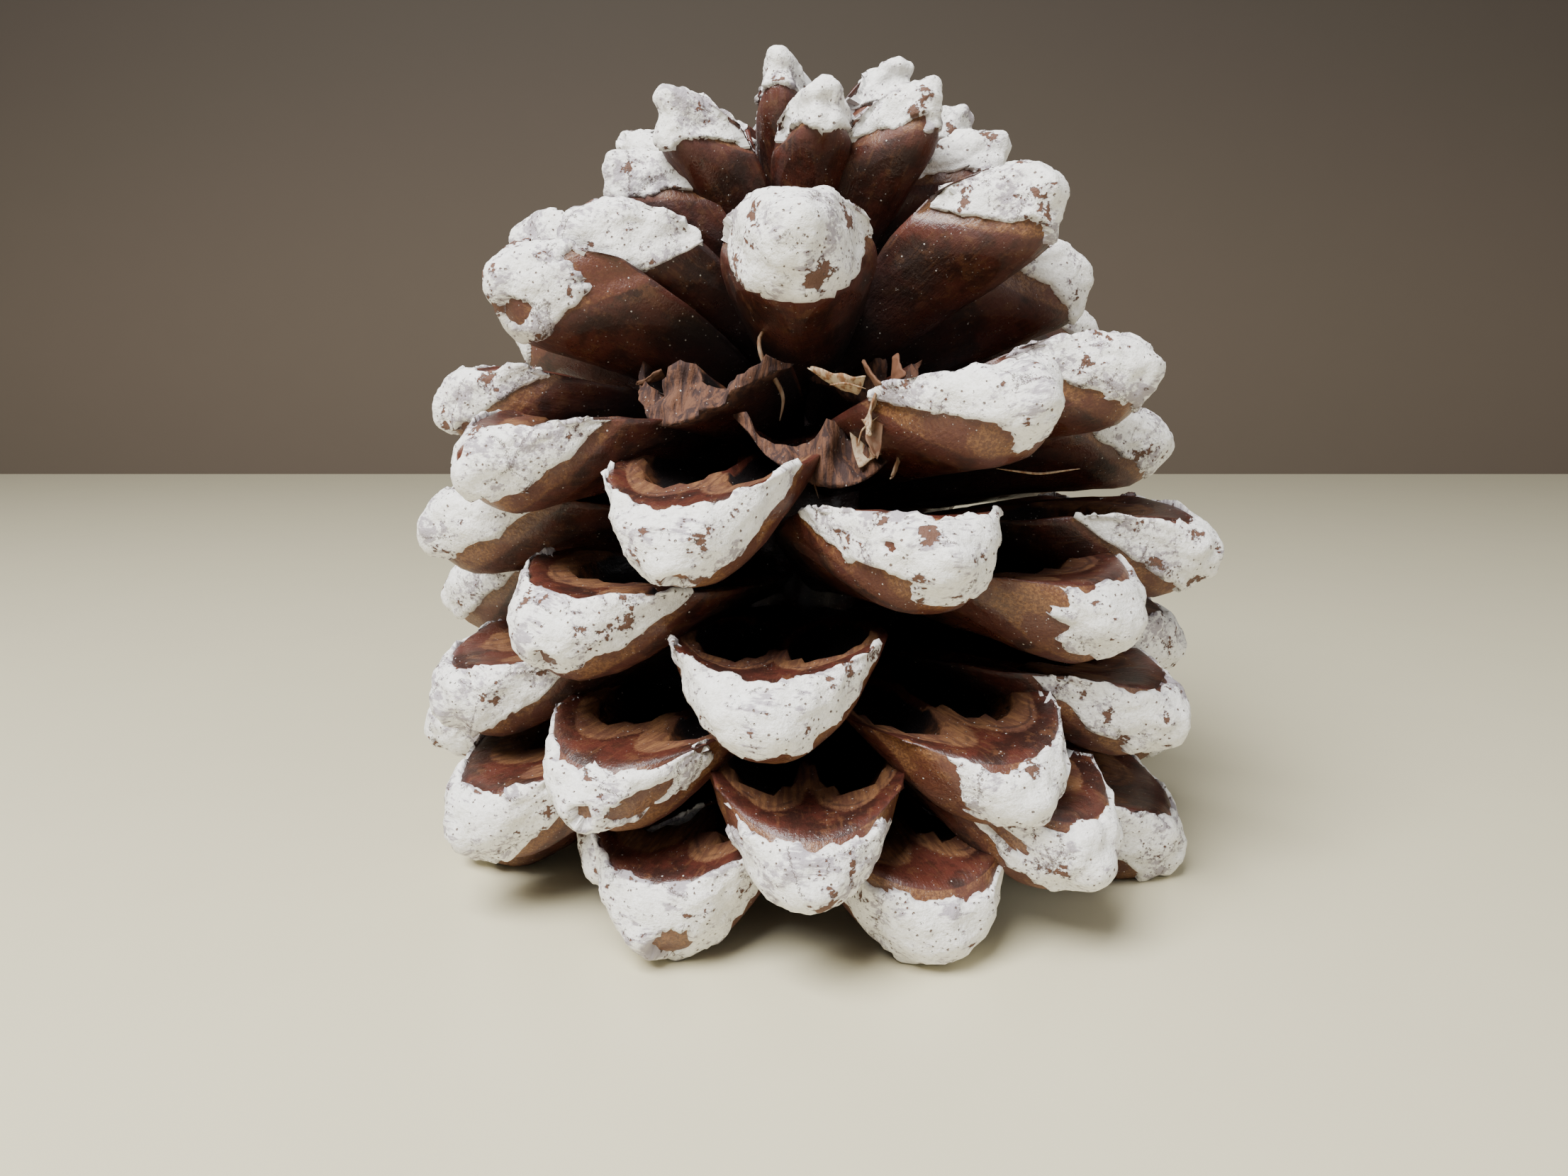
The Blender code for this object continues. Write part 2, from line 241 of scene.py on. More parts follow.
class Signal:
    """A number on its way through a node tree. Sums and products of signals add nodes."""

    def __init__(self, wires, socket):
        self.wires = wires
        self.socket = socket

    def __add__(self, other):
        return self.wires.math("ADD", self, other)

    def __radd__(self, other):
        return self.wires.math("ADD", other, self)

    def __sub__(self, other):
        return self.wires.math("SUBTRACT", self, other)

    def __rsub__(self, other):
        return self.wires.math("SUBTRACT", other, self)

    def __mul__(self, other):
        return self.wires.math("MULTIPLY", self, other)

    def __rmul__(self, other):
        return self.wires.math("MULTIPLY", other, self)

    def __truediv__(self, other):
        return self.wires.math("DIVIDE", self, other)

    def __abs__(self):
        return self.wires.math("ABSOLUTE", self)


class Wires:
    """One node tree in the making. Each call adds a node and hands back its output."""

    def __init__(self, tree):
        self.tree = tree

    def put(self, socket, value):
        if isinstance(value, Signal):
            value = value.socket
        if isinstance(value, bpy.types.NodeSocket):
            self.tree.links.new(value, socket)
        else:
            socket.default_value = value

    def node(self, kind, inputs=None, **settings):
        made = self.tree.nodes.new(kind)
        for name, value in settings.items():
            setattr(made, name, value)
        for key, value in (inputs or {}).items():
            self.put(made.inputs[key], value)
        return made

    def signal(self, socket):
        return Signal(self, socket)

    def math(self, operation, *values):
        made = self.node("ShaderNodeMath", dict(enumerate(values)), operation=operation)
        return self.signal(made.outputs[0])

    def smaller(self, first, second):
        return self.math("MINIMUM", first, second)

    def larger(self, first, second):
        return self.math("MAXIMUM", first, second)

    def ramp(self, value, low, high, start=0.0, end=1.0):
        """A soft step from start to end while value goes from low to high."""
        inputs = {0: value, 1: low, 2: high, 3: start, 4: end}
        made = self.node("ShaderNodeMapRange", inputs, interpolation_type="SMOOTHSTEP")
        return self.signal(made.outputs[0])

    def blend(self, share, first, second):
        made = self.node("ShaderNodeMix", {0: share, 2: first, 3: second}, data_type="FLOAT")
        return self.signal(made.outputs[0])

    def tint(self, share, first, second):
        made = self.node("ShaderNodeMix", {0: share, 6: first, 7: second}, data_type="RGBA")
        return made.outputs[2]

    def stretched(self, vector, factors):
        inputs = {0: vector, 1: factors}
        return self.node("ShaderNodeVectorMath", inputs, operation="MULTIPLY").outputs[0]

    def shifted(self, vector, by):
        return self.node("ShaderNodeVectorMath", {0: vector, 1: by}, operation="ADD").outputs[0]

    def cloud(self, vector, size, detail=3.0, rough=0.5, distortion=0.0):
        """Noise from about 0.2 to 0.8, with blotches of that size in millimetres."""
        inputs = {
            "Vector": vector, "Scale": 1 / size, "Detail": detail,
            "Roughness": rough, "Distortion": distortion,
        }
        return self.signal(self.node("ShaderNodeTexNoise", inputs).outputs[0])

    def cells(self, vector, size, feature="F1"):
        inputs = {"Vector": vector, "Scale": 1 / size}
        return self.signal(self.node("ShaderNodeTexVoronoi", inputs, feature=feature).outputs[0])


# Geometry Nodes that set a scale or a daub on each point of the spiral


def read(wires, name, kind="FLOAT"):
    made = wires.node("GeometryNodeInputNamedAttribute", {"Name": name}, data_type=kind)
    return made.outputs[0]


def number(wires, name):
    return wires.signal(read(wires, name))


def vector(wires, name):
    return read(wires, name, "FLOAT_VECTOR")


def keep(wires, shape, name, value, kind="FLOAT"):
    """Stores a value on the points of the shape, under a name that materials can read."""
    inputs = {"Geometry": shape, "Name": name, "Value": value}
    made = wires.node("GeometryNodeStoreNamedAttribute", inputs, data_type=kind, domain="POINT")
    return made.outputs[0]


def new_tree(name, numbers):
    """A tree that takes the spiral, a shape, a material and some numbers."""
    tree = bpy.data.node_groups.new(name, "GeometryNodeTree")
    sockets_of = tree.interface
    sockets_of.new_socket(name="Geometry", in_out="OUTPUT", socket_type="NodeSocketGeometry")
    for label, kind in (("Spiral", "Geometry"), ("Shape", "Object"), ("Material", "Material")):
        sockets_of.new_socket(name=label, in_out="INPUT", socket_type="NodeSocket" + kind)
    for label, value in numbers.items():
        socket = sockets_of.new_socket(name=label, in_out="INPUT", socket_type="NodeSocketFloat")
        socket.default_value = value
    return tree


def set_on_spiral(wires, given):
    """One shape on every point, turned and sized by the point, made real."""
    shape = wires.node("GeometryNodeObjectInfo", {"Object": given["Shape"]}).outputs["Geometry"]
    turned = wires.node("FunctionNodeEulerToRotation", {0: vector(wires, "facing")})
    placed = wires.node("GeometryNodeInstanceOnPoints", {
        "Points": given["Spiral"],
        "Instance": shape,
        "Rotation": turned.outputs[0],
        "Scale": vector(wires, "size"),
    })
    real = wires.node("GeometryNodeRealizeInstances", {"Geometry": placed.outputs[0]}).outputs[0]
    own = wires.stretched(vector(wires, "place"), vector(wires, "size_mm"))
    own = wires.shifted(own, vector(wires, "apart"))
    return keep(wires, real, "grain", own, "FLOAT_VECTOR")


def worn_back(wires):
    """How far the wood of an end face lies under the surface of its daub, in millimetres."""
    end = wires.ramp(number(wires, "along"), 0.84, 0.90)
    near_lip = wires.ramp(number(wires, "along"), 0.95, 1.0, 0.0, 0.7)
    inset = number(wires, "daubed") * (number(wires, "fullness") * 2.0 - 1.5)
    return wires.blend(number(wires, "outer"), near_lip, end) * inset


def move_out(wires, shape, distance_mm):
    """Moves the surface out along its normals by a distance in millimetres."""
    normal = wires.node("GeometryNodeInputNormal").outputs[0]
    step = wires.node("ShaderNodeVectorMath", {0: normal, 3: distance_mm * MM}, operation="SCALE")
    moved = wires.node("GeometryNodeSetPosition", {"Geometry": shape, "Offset": step.outputs[0]})
    return moved.outputs[0]


def finish_tree(wires, shape, material):
    done = wires.node("GeometryNodeSetMaterial", {"Geometry": shape, "Material": material})
    smooth = wires.node("GeometryNodeSetShadeSmooth", {0: done.outputs[0]})
    wires.node("NodeGroupOutput", {0: smooth.outputs[0]})


def scale_tree():
    """Woody scales with their lumps, wrinkles and fibres."""
    tree = new_tree("woody_scales", {"Lumps": 0.9, "Wrinkles": 0.3})
    wires = Wires(tree)
    given = wires.node("NodeGroupInput").outputs
    shape = set_on_spiral(wires, given)
    grain = vector(wires, "grain")
    lumps = (wires.cloud(grain, 7.0, 2.0) - 0.5) * wires.signal(given["Lumps"])
    along = wires.stretched(grain, (0.18, 1.0, 1.0))
    wrinkles = (wires.cloud(along, 1.5, 3.0) - 0.5) * wires.signal(given["Wrinkles"])
    shape = move_out(wires, shape, lumps + wrinkles - worn_back(wires))
    finish_tree(wires, shape, given["Material"])
    return tree


def daub_cover(wires):
    """How far inside the edge of its daub a point lies, in millimetres."""
    grain = vector(wires, "grain")
    share = number(wires, "along")
    across = number(wires, "across")
    outer = number(wires, "outer")
    length = number(wires, "length_mm")
    half = number(wires, "width_mm") * END_HALF_WIDTH
    laps = number(wires, "laps")
    from_heel = (share - number(wires, "starts") - across * across * number(wires, "droop")) * END_STRETCH
    aside = (1.0 - abs(across)) * half
    seed_edge = laps - wires.smaller((1.0 - share) * length, aside)
    outer_edge = laps + wires.smaller((1.0 - share) * END_STRETCH, aside * 1.4)
    cover = wires.smaller(from_heel, wires.blend(outer, seed_edge, outer_edge))
    cover = wires.smaller(cover, (across + 1.0 - number(wires, "bare_left") * 2.0) * half)
    cover = wires.smaller(cover, (1.0 - across - number(wires, "bare_right") * 2.0) * half)
    ragged = (wires.cloud(grain, 4.0, 2.0) - 0.5) * 4.2
    ragged = ragged + (wires.cloud(grain, 1.1, 3.0, 0.6) - 0.5) * 1.5
    cover = cover + ragged
    for name in ("chip_1", "chip_2"):
        chip = wires.node("ShaderNodeSeparateXYZ", {0: vector(wires, name)}).outputs
        aside = (across - wires.signal(chip[0])) * half
        down = (share - HEEL_RIM - wires.signal(chip[1]) * (1 - HEEL_RIM)) * END_STRETCH
        away = wires.math("SQRT", aside * aside + down * down) - wires.signal(chip[2])
        cover = wires.smaller(cover, away + (wires.cloud(grain, 1.3, 3.0) - 0.5) * 2.0)
    return cover


def daub_tree():
    """Thick paint on the scale ends, with rounded ragged edges that sink into the wood."""
    tree = new_tree("daubs", {"Thickness": 0.45, "Lumps": 0.9})
    wires = Wires(tree)
    given = wires.node("NodeGroupInput").outputs
    shape = set_on_spiral(wires, given)
    grain = vector(wires, "grain")
    shape = keep(wires, shape, "cover", daub_cover(wires))
    cover = number(wires, "cover")
    wood_lumps = (wires.cloud(grain, 7.0, 2.0) - 0.5) * wires.signal(given["Lumps"])
    dabs = wires.ramp(wires.cloud(grain, 3.4, 2.0), 0.35, 0.65, 0.5, 1.5)
    thick = wires.signal(given["Thickness"]) * dabs * number(wires, "fullness")
    down = (number(wires, "along") - HEEL_RIM - KNOB_AT * (1 - HEEL_RIM)) * END_STRETCH
    aside = number(wires, "across") * number(wires, "width_mm") * END_HALF_WIDTH
    knob = wires.ramp(wires.math("SQRT", aside * aside + down * down), 3.4, 0.8, 0.0, 0.8)
    thick = thick + knob * number(wires, "outer")
    strokes = wires.cloud(wires.stretched(grain, (1.0, 0.3, 1.0)), 1.0, 3.0, 0.6)
    thick = thick + (strokes - 0.5) * 0.5 + (wires.cloud(grain, 1.6, 3.0, 0.6) - 0.5) * 0.4
    depth = wires.ramp(cover, -0.22, 0.38, -0.40, thick)
    shape = move_out(wires, shape, wood_lumps + depth - worn_back(wires))
    bare = wires.math("LESS_THAN", number(wires, "cover"), -0.55)
    cut = wires.node(
        "GeometryNodeDeleteGeometry", {"Geometry": shape, "Selection": bare}, domain="POINT"
    )
    finish_tree(wires, cut.outputs[0], given["Material"])
    return tree


# Shape of one scale: x runs out from the axis, y across and z towards the seed side


def soft_step(share):
    share = np.clip(share, 0.0, 1.0)
    return share * share * (3 - 2 * share)


def rim_share(row):
    """Where along the rim a mesh row ends, as a share from root to lip."""
    near = HEEL_RIM * row / HEEL_ROW
    far = HEEL_RIM + (1 - HEEL_RIM) * (row - HEEL_ROW) / (1 - HEEL_ROW)
    return np.where(row <= HEEL_ROW, near, far)


def half_width(share):
    grown = 1 - np.maximum(0.0, 1 - share / 0.8) ** 1.6
    rounded = LIP_NARROWING * soft_step((share - 0.75) / 0.25)
    return 0.5 * (ROOT_WIDTH + (1 - ROOT_WIDTH) * grown - rounded)


def lip_reach(across):
    return 1 - FACE_BULGE * 0.6 - LIP_BOW * np.abs(across) ** 2.4


def seed_side(share, across):
    """Points of the dished side that held the two seeds."""
    lip = FACE_HEIGHT * (LIP_RISE + LIP_CORNER_RISE * np.abs(across) ** 1.5)
    rise = ROOT_DEPTH + (lip - ROOT_DEPTH) * share ** 0.8
    swell = np.sin(np.pi * share)
    rise -= DISH_DEPTH * FACE_HEIGHT * swell * (1 - across * across)
    rise += RIM_RISE * FACE_HEIGHT * swell * np.abs(across) ** 3
    along = (share - HOLLOW_AT) / HOLLOW_REACH
    aside = (np.abs(across) - HOLLOW_ASIDE) / HOLLOW_HALF_WIDTH
    inside = np.maximum(0.0, 1 - along * along - aside * aside)
    rise -= HOLLOW_DEPTH * FACE_HEIGHT * inside ** 0.4
    edge = np.sqrt(along * along + aside * aside) - 1.07
    rise += 0.022 * FACE_HEIGHT * np.exp(-((edge / 0.09) ** 2))
    return np.stack((lip_reach(across) * share, across * half_width(share), rise), axis=-1)


def heel_line(row):
    """The middle line of the outer side: along the keel, round the heel and up the end face."""
    lip = float(lip_reach(0.0))
    heel = (lip - HEEL_BACK, -(1 - LIP_RISE - 0.06) * FACE_HEIGHT)
    near = np.clip(row / HEEL_ROW, 0.0, 1.0)
    far = np.clip((row - HEEL_ROW) / (1 - HEEL_ROW), 0.0, 1.0)
    keel_x = heel[0] * near
    keel_z = -ROOT_DEPTH + (heel[1] + ROOT_DEPTH) * near ** 1.3
    guides = (
        heel,
        (lip + 0.02, heel[1]),
        (lip + 2.2 * FACE_BULGE, -0.05 * FACE_HEIGHT),
        (lip, LIP_RISE * FACE_HEIGHT),
    )
    weights = ((1 - far) ** 3, 3 * far * (1 - far) ** 2, 3 * far**2 * (1 - far), far**3)
    face_x = sum(weight * guide[0] for weight, guide in zip(weights, guides))
    face_z = sum(weight * guide[1] for weight, guide in zip(weights, guides))
    on_keel = row <= HEEL_ROW
    return np.where(on_keel, keel_x, face_x), np.where(on_keel, keel_z, face_z)


def outer_side(row, across):
    """Points of the keeled side and of the end face."""
    share = rim_share(row)
    rim = seed_side(share, np.ones_like(across))
    x_mid, z_mid = heel_line(row)
    keel = KEEL_SHARP + (KEEL_FULL - KEEL_SHARP) * soft_step((share - 0.6) / 0.4)
    x = rim[..., 0] + (x_mid - rim[..., 0]) * (1 - np.abs(across) ** 2.4)
    z = rim[..., 2] + (z_mid - rim[..., 2]) * (1 - np.abs(across) ** keel)
    return np.stack((x, across * half_width(share), z), axis=-1)


def even_rows(*stretches):
    """Row places from stretches of (start, end, number of steps)."""
    rows = [np.linspace(start, end, steps, endpoint=False) for start, end, steps in stretches]
    return np.append(np.concatenate(rows), stretches[-1][1])


def rim_columns(count):
    """Places from rim to rim, closer together at the rims."""
    even = np.linspace(-1, 1, count)
    return 0.65 * even + 0.35 * np.sin(even * np.pi / 2)


def scale_points(rows, columns):
    """Points, quads and marks of one scale of unit length and width, closed all round."""
    row, across = np.meshgrid(rows, columns, indexing="ij")
    share = rim_share(row)
    above = seed_side(share, across)
    below = outer_side(row, across)
    tall, wide = row.shape
    top = np.arange(tall * wide).reshape(tall, wide)
    under = top + tall * wide
    under[:, 0] = top[:, 0]
    under[:, -1] = top[:, -1]
    under[-1] = top[-1]
    points = np.concatenate((above.reshape(-1, 3), below.reshape(-1, 3)))
    share = np.tile(share.ravel(), 2)
    side = np.concatenate((np.zeros(tall * wide), np.ones(tall * wide)))
    side[np.unique(np.concatenate((top[:, 0], top[:, -1], top[-1])))] = 0.5
    across = np.tile(across.ravel(), 2)
    faces = []
    for net, flipped in ((top, False), (under, True)):
        corners = np.stack((net[:-1, :-1], net[1:, :-1], net[1:, 1:], net[:-1, 1:]), axis=-1)
        corners = corners.reshape(-1, 4)
        faces.extend((corners if flipped else corners[:, ::-1]).tolist())
    root = zip(top[0, :-1], top[0, 1:], under[0, 1:], under[0, :-1])
    faces.extend([list(map(int, corners)) for corners in root])
    return points, faces, share, across, side


def without_repeats(face):
    return list(dict.fromkeys(face))


def linked(name, data):
    """A new object with this data, linked to the scene."""
    thing = bpy.data.objects.new(name, data)
    bpy.context.scene.collection.objects.link(thing)
    return thing


def mark(mesh, name, values, kind="FLOAT"):
    """Stores values on a mesh's points under a name."""
    attribute = mesh.attributes.new(name, kind, "POINT")
    key = "vector" if kind == "FLOAT_VECTOR" else "value"
    attribute.data.foreach_set(key, np.asarray(values, np.float32).ravel())


def places_of(mesh):
    places = np.zeros(len(mesh.vertices) * 3, np.float32)
    mesh.vertices.foreach_get("co", places)
    return places.reshape(-1, 3)


def scale_shape(name, rows, columns, from_share=0.0, softness=2):
    """A template scale, its sharp rims worn round, cut back to its outer end if asked."""
    points, faces, share, across, side = scale_points(rows, columns)
    mesh = bpy.data.meshes.new(name)
    mesh.from_pydata(points * USUAL_SIZE, [], [without_repeats(face) for face in faces])
    mark(mesh, "along", share)
    mark(mesh, "across", across)
    mark(mesh, "outer", side)
    work = bmesh.new()
    work.from_mesh(mesh)
    loose = [vert for vert in work.verts if not vert.link_faces]
    bmesh.ops.delete(work, geom=loose, context="VERTS")
    bmesh.ops.recalc_face_normals(work, faces=work.faces[:])
    sides = work.verts.layers.float["outer"]
    worn = [vert for vert in work.verts if vert[sides] == 0.5]
    worn = set(worn).union(edge.other_vert(vert) for vert in worn for edge in vert.link_edges)
    for _ in range(softness):
        bmesh.ops.smooth_vert(
            work, verts=list(worn), factor=0.5, use_axis_x=True, use_axis_y=True, use_axis_z=True
        )
    if from_share > 0:
        shares = work.verts.layers.float["along"]
        near = [vert for vert in work.verts if vert[shares] < from_share]
        bmesh.ops.delete(work, geom=near, context="VERTS")
        inner = [v for v in work.verts if v[sides] == 0 and v[shares] < 0.86 and abs(v.co.y) < 8]
        bmesh.ops.delete(work, geom=inner, context="VERTS")
    work.to_mesh(mesh)
    work.free()
    places = places_of(mesh) / USUAL_SIZE
    mesh.vertices.foreach_set("co", places.ravel())
    mark(mesh, "place", places, "FLOAT_VECTOR")
    return linked(name, mesh)


# Place of each scale on the cone


def along_outline(index, values):
    return float(np.interp(index, OUTLINE_AT, values))


def axis_radius(height):
    return float(np.interp(height, AXIS_HEIGHT, AXIS_RADIUS))


def spiral():
    """Number, root, turn, length, width and thickness of every scale, in metres."""
    draw = random.Random(SEED)
    places = {}
    for index in range(LOWEST_SCALE, HIGHEST_SCALE + 1):
        turn_by, reach, rise, root_rise, roll = HABITS.get(index, (0, 0, 0, 0, 0))
        loose_turn = draw.uniform(-LOOSE_TURN, LOOSE_TURN)
        loose_roll = draw.uniform(-LOOSE_ROLL, LOOSE_ROLL)
        if index not in HABITS:
            turn_by = loose_turn
            roll = loose_roll
        angle = FIRST_TURN + TURN * index + math.radians(turn_by)
        out = Vector((math.sin(angle), -math.cos(angle), 0))
        end = out * (along_outline(index, END_RADIUS) + reach) * MM
        end.z = (along_outline(index, END_HEIGHT) + rise) * MM
        root_height = along_outline(index, ROOT_HEIGHT) + root_rise
        root = out * axis_radius(root_height) * ROOT_SUNK * MM
        root.z = root_height * MM
        width = along_outline(index, SCALE_WIDTH) * MM
        thick = width * along_outline(index, THICKNESS)
        places[index] = (*scale_place(root, end, math.radians(roll)), width, thick)
    return places


def scale_place(root, end, roll):
    x_axis = (end - root).normalized()
    y_axis = Vector((0, 0, 1)).cross(x_axis).normalized()
    z_axis = x_axis.cross(y_axis)
    y_rolled = y_axis * math.cos(roll) + z_axis * math.sin(roll)
    z_rolled = x_axis.cross(y_rolled)
    facing = Matrix((x_axis, y_rolled, z_rolled)).transposed()
    root = root + Vector((AXIS_AT[0] * MM, AXIS_AT[1] * MM, 0))
    return root, facing, (end - root).length


def any_daub(index, draw):
    """How a usual daub lies. Near the top it reaches back under the scale."""
    back = float(np.interp(index, (48, 60), (0.0, 0.035)))
    return 0.873 - back + 0.02 * draw.random(), -1.0, -1.0, -0.2 + 0.8 * draw.random()


def any_chip(draw):
    """A bare chip anywhere in a daub, or none."""
    size = draw.uniform(-1.0, 1.5)
    return draw.uniform(-0.8, 0.8), draw.uniform(0.0, 0.9), size if size > 0.4 else NO_CHIP


def spiral_points(name, places, chosen):
    """A cloud of points, one for each chosen scale, with what its nodes read."""
    mesh = bpy.data.meshes.new(name)
    mesh.from_pydata([places[index][0] for index in chosen], [], [])
    sizes = [places[i][2:5] for i in chosen]
    draws = [random.Random(SEED * 1000 + index) for index in chosen]
    daubs = [DAUBS.get(index) or any_daub(index, draw) for index, draw in zip(chosen, draws)]
    mark(mesh, "facing", [places[i][1].to_euler("XYZ") for i in chosen], "FLOAT_VECTOR")
    mark(mesh, "size", sizes, "FLOAT_VECTOR")
    mark(mesh, "size_mm", np.array(sizes) / MM, "FLOAT_VECTOR")
    mark(mesh, "apart", [[draw.uniform(-500, 500) for _ in range(3)] for draw in draws], "FLOAT_VECTOR")
    mark(mesh, "tone", [draw.random() for draw in draws])
    mark(mesh, "length_mm", [size[0] / MM for size in sizes])
    mark(mesh, "width_mm", [size[1] / MM for size in sizes])
    mark(mesh, "daubed", [float(index >= FIRST_DAUBED) for index in chosen])
    mark(mesh, "droop", np.interp(chosen, (48, 60, 63), (0.0, 0.12, 0.05)))
    mark(mesh, "fullness", np.interp(chosen, (45, 70, 85), (1.0, 1.15, 1.35)))
    for place, label in enumerate(("starts", "bare_left", "bare_right", "laps")):
        mark(mesh, label, [daub[place] for daub in daubs])
    for place in (0, 1):
        chips = [(CHIPS.get(i, ()) + (any_chip(d), (0, 0, NO_CHIP)))[place] for i, d in zip(chosen, draws)]
        mark(mesh, f"chip_{place + 1}", chips, "FLOAT_VECTOR")
    return linked(name, mesh)


def grow(name, points, tree, values):
    """Runs a tree on the spiral's points and hands back a plain mesh object."""
    growth = points.modifiers.new(name, "NODES")
    growth.node_group = tree
    for item in tree.interface.items_tree:
        if item.in_out == "INPUT" and item.name in values:
            growth[item.identifier] = values[item.name]
    points.update_tag()
    depsgraph = bpy.context.evaluated_depsgraph_get()
    mesh = bpy.data.meshes.new_from_object(points.evaluated_get(depsgraph), depsgraph=depsgraph)
    bpy.data.objects.remove(points, do_unlink=True)
    mesh.name = name
    return linked(name, mesh)


def rest_on_floor(piece):
    """Flattens what would reach below the floor, as the solid's flat spots are."""
    places = places_of(piece.data)
    places[:, 2] = np.maximum(places[:, 2], 0.0)
    piece.data.vertices.foreach_set("co", places.ravel())
    piece.data.update()


def new_piece(name, points, faces, material):
    mesh = bpy.data.meshes.new(name)
    mesh.from_pydata(points.tolist(), [], [without_repeats(face) for face in faces])
    mesh.materials.append(material)
    mesh.polygons.foreach_set("use_smooth", [True] * len(mesh.polygons))
    return linked(name, mesh)


def turned_outward(piece):
    """Drops points that no face uses and makes every closed shell of a piece face outward."""
    work = bmesh.new()
    work.from_mesh(piece.data)
    loose = [vert for vert in work.verts if not vert.link_faces]
    bmesh.ops.delete(work, geom=loose, context="VERTS")
    bmesh.ops.recalc_face_normals(work, faces=work.faces[:])
    work.to_mesh(piece.data)
    work.free()


def rough_noise(points, size):
    """Noise from -1 to 1 at points in millimetres, with lumps of that size."""
    return np.array([noise.noise(Vector(point) / size) for point in points])


# The woody axis and the stubs of snapped scales


def net_faces(net):
    corners = np.stack((net[:-1, :-1], net[1:, :-1], net[1:, 1:], net[:-1, 1:]), axis=-1)
    return corners.reshape(-1, 4).tolist()


def tube_faces(rings, sides):
    """Quads round a tube, and fans to the two end points that follow its rings."""
    net = np.arange(rings * sides).reshape(rings, sides)
    net = np.concatenate((net, net[:, :1]), axis=1)
    first = rings * sides
    faces = net_faces(net)
    faces += [[a, b, first] for a, b in zip(net[0, 1:].tolist(), net[0, :-1].tolist())]
    faces += [[a, b, first + 1] for a, b in zip(net[-1, :-1].tolist(), net[-1, 1:].tolist())]
    return faces


def core_points():
    """Rings of the woody axis with ridges and pits, closed at both ends."""
    heights = np.linspace(AXIS_HEIGHT[0], AXIS_HEIGHT[-1], CORE_NET[0])
    turns = np.linspace(0, math.tau, CORE_NET[1], endpoint=False)
    height, turn = np.meshgrid(heights, turns, indexing="ij")
    radius = np.interp(height, AXIS_HEIGHT, AXIS_RADIUS)
    spots = np.stack((radius * np.sin(turn), -radius * np.cos(turn), height), axis=-1)
    lumps = rough_noise(spots.reshape(-1, 3), 3.0) * 0.9 + rough_noise(spots.reshape(-1, 3), 1.1) * 0.4
    radius = radius * 0.97 + lumps.reshape(radius.shape)
    spots = np.stack((radius * np.sin(turn), -radius * np.cos(turn), height), axis=-1)
    ends = [[0, 0, AXIS_HEIGHT[0] - 0.6], [0, 0, AXIS_HEIGHT[-1] + 0.6]]
    points = np.concatenate((spots.reshape(-1, 3), ends)) + [*AXIS_AT, 0]
    return points, tube_faces(*CORE_NET)


def torn_scale(last_row, length, width, thick, shift):
    """Points, faces and marks of a scale that ends in a jagged torn face, in millimetres."""
    row, across = np.meshgrid(even_rows((0.0, last_row, 20)), rim_columns(41), indexing="ij")
    share = rim_share(row)
    size = (length, width, thick)
    above = seed_side(share, across) * size
    below = outer_side(row, across) * size
    tall, wide = row.shape
    steps = np.linspace(0, 1, 12)[1:-1, None, None]
    torn = above[-1] * (1 - steps) + below[-1] * steps
    points = np.concatenate([part.reshape(-1, 3) for part in (above, below, torn)])
    loose = np.concatenate((np.tile((row / last_row).ravel() ** 10, 2), np.ones(torn.size // 3)))
    fibres = points * (0.3, 1.0, 0.45) + shift
    jags = rough_noise(fibres, 0.9) * 1.5 + rough_noise(fibres, 3.1) * 3.0
    points[:, 0] += (jags - 0.4) * loose
    top = np.arange(tall * wide).reshape(tall, wide)
    under = top + tall * wide
    under[:, 0] = top[:, 0]
    under[:, -1] = top[:, -1]
    end = np.arange(torn.size // 3).reshape(-1, wide) + 2 * tall * wide
    end = np.concatenate((top[-1:], end, under[-1:]))
    end[:, 0] = top[-1, 0]
    end[:, -1] = top[-1, -1]
    faces = net_faces(top) + net_faces(under[:, ::-1]) + net_faces(end)
    root = (top[0, :-1], top[0, 1:], under[0, 1:], under[0, :-1])
    faces += np.stack(root, axis=-1).tolist()
    flat = tall * wide
    marks = {
        "along": np.concatenate((np.tile(share.ravel(), 2), np.full(torn.size // 3, share.max()))),
        "across": np.concatenate((np.tile(across.ravel(), 2), np.tile(across[0], len(steps)))),
        "outer": np.repeat((0.0, 1.0, 1.0), (flat, flat, torn.size // 3)),
        "torn": np.clip((loose - 0.35) / 0.4, 0, 1),
    }
    return points, faces, marks


